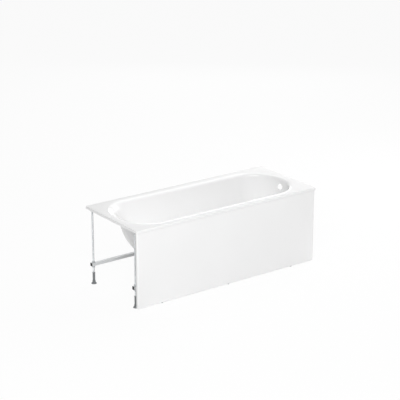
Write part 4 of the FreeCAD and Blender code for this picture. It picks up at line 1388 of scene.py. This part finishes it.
class BATH_OT_form_panel(bpy.types.Operator):
    """Form the front panel's sheet with its turned-back edges"""

    bl_idname = "bath.form_panel"
    bl_label = "Form the panel"

    def execute(self, context):
        form_panel(context.scene.kit_sizes)
        return {"FINISHED"}


class BATH_OT_cut_threads(bpy.types.Operator):
    """Cut the threads of the posts and studs"""

    bl_idname = "bath.cut_threads"
    bl_label = "Cut the threads"

    def execute(self, context):
        cut_threads(context.scene.kit_sizes, context.scene.bath_finishes)
        return {"FINISHED"}


class BATH_OT_set_fasteners(bpy.types.Operator):
    """Set the nuts, washers, screws and rivets"""

    bl_idname = "bath.set_fasteners"
    bl_label = "Set the fasteners"

    def execute(self, context):
        set_fasteners(context.scene.kit_sizes)
        return {"FINISHED"}


class BATH_OT_run_tubes(bpy.types.Operator):
    """Run the rails and cross bars"""

    bl_idname = "bath.run_tubes"
    bl_label = "Run the tubes"

    def execute(self, context):
        run_tubes(context.scene.kit_sizes, context.scene.bath_finishes)
        return {"FINISHED"}


class BATH_OT_mould_feet(bpy.types.Operator):
    """Mould the foot pads and threaded sleeves"""

    bl_idname = "bath.mould_feet"
    bl_label = "Mould the feet"

    def execute(self, context):
        mould_feet(context.scene.kit_sizes, context.scene.bath_finishes)
        return {"FINISHED"}


class BATH_OT_mould_small_parts(bpy.types.Operator):
    """Mould the caps, plugs, glides and tongues"""

    bl_idname = "bath.mould_small_parts"
    bl_label = "Mould the small parts"

    def execute(self, context):
        mould_small_parts(context.scene.kit_sizes, context.scene.bath_finishes)
        return {"FINISHED"}


class BATH_OT_lay_boards(bpy.types.Operator):
    """Lay the floor board and the panel's battens"""

    bl_idname = "bath.lay_boards"
    bl_label = "Lay the boards"

    def execute(self, context):
        lay_boards(context.scene.kit_sizes, context.scene.bath_finishes)
        return {"FINISHED"}


class BATH_OT_bend_clips(bpy.types.Operator):
    """Bend the spring clips of the panel's catches"""

    bl_idname = "bath.bend_clips"
    bl_label = "Bend the clips"

    def execute(self, context):
        bend_clips(context.scene.kit_sizes, context.scene.bath_finishes)
        return {"FINISHED"}


class BATH_OT_set_stage(bpy.types.Operator):
    """Set the floor, the light and the camera"""

    bl_idname = "bath.set_stage"
    bl_label = "Set the stage"

    def execute(self, context):
        set_stage(context.scene.bath_stage)
        return {"FINISHED"}


OPERATORS = (
    BATH_OT_form_tub,
    BATH_OT_form_panel,
    BATH_OT_cut_threads,
    BATH_OT_set_fasteners,
    BATH_OT_run_tubes,
    BATH_OT_mould_feet,
    BATH_OT_mould_small_parts,
    BATH_OT_lay_boards,
    BATH_OT_bend_clips,
    BATH_OT_set_stage,
)
GROUPS = {
    "tub_sizes": TubSizes,
    "kit_sizes": KitSizes,
    "bath_finishes": Finishes,
    "bath_stage": StageSettings,
}


class BATH_PT_sidebar(bpy.types.Panel):
    """Lists the steps and their settings"""

    bl_idname = "BATH_PT_sidebar"
    bl_label = "Bathtub"
    bl_space_type = "VIEW_3D"
    bl_region_type = "UI"
    bl_category = "Bathtub"

    def draw(self, context):
        for step in OPERATORS:
            self.layout.operator(step.bl_idname)
        for name, group in GROUPS.items():
            settings = getattr(context.scene, name)
            for setting in group.__annotations__:
                self.layout.prop(settings, setting)


def register():
    for group in (*GROUPS.values(), *OPERATORS, BATH_PT_sidebar):
        bpy.utils.register_class(group)
    for name, group in GROUPS.items():
        setattr(bpy.types.Scene, name, PointerProperty(type=group))


def unregister():
    for name in GROUPS:
        delattr(bpy.types.Scene, name)
    for group in (BATH_PT_sidebar, *reversed(OPERATORS), *reversed(GROUPS.values())):
        bpy.utils.unregister_class(group)


def main():
    register()
    bpy.ops.bath.form_tub()
    bpy.ops.bath.form_panel()
    bpy.ops.bath.cut_threads()
    bpy.ops.bath.set_fasteners()
    bpy.ops.bath.run_tubes()
    bpy.ops.bath.mould_feet()
    bpy.ops.bath.mould_small_parts()
    bpy.ops.bath.lay_boards()
    bpy.ops.bath.bend_clips()
    bpy.ops.bath.set_stage()


if __name__ == "__main__":
    main()
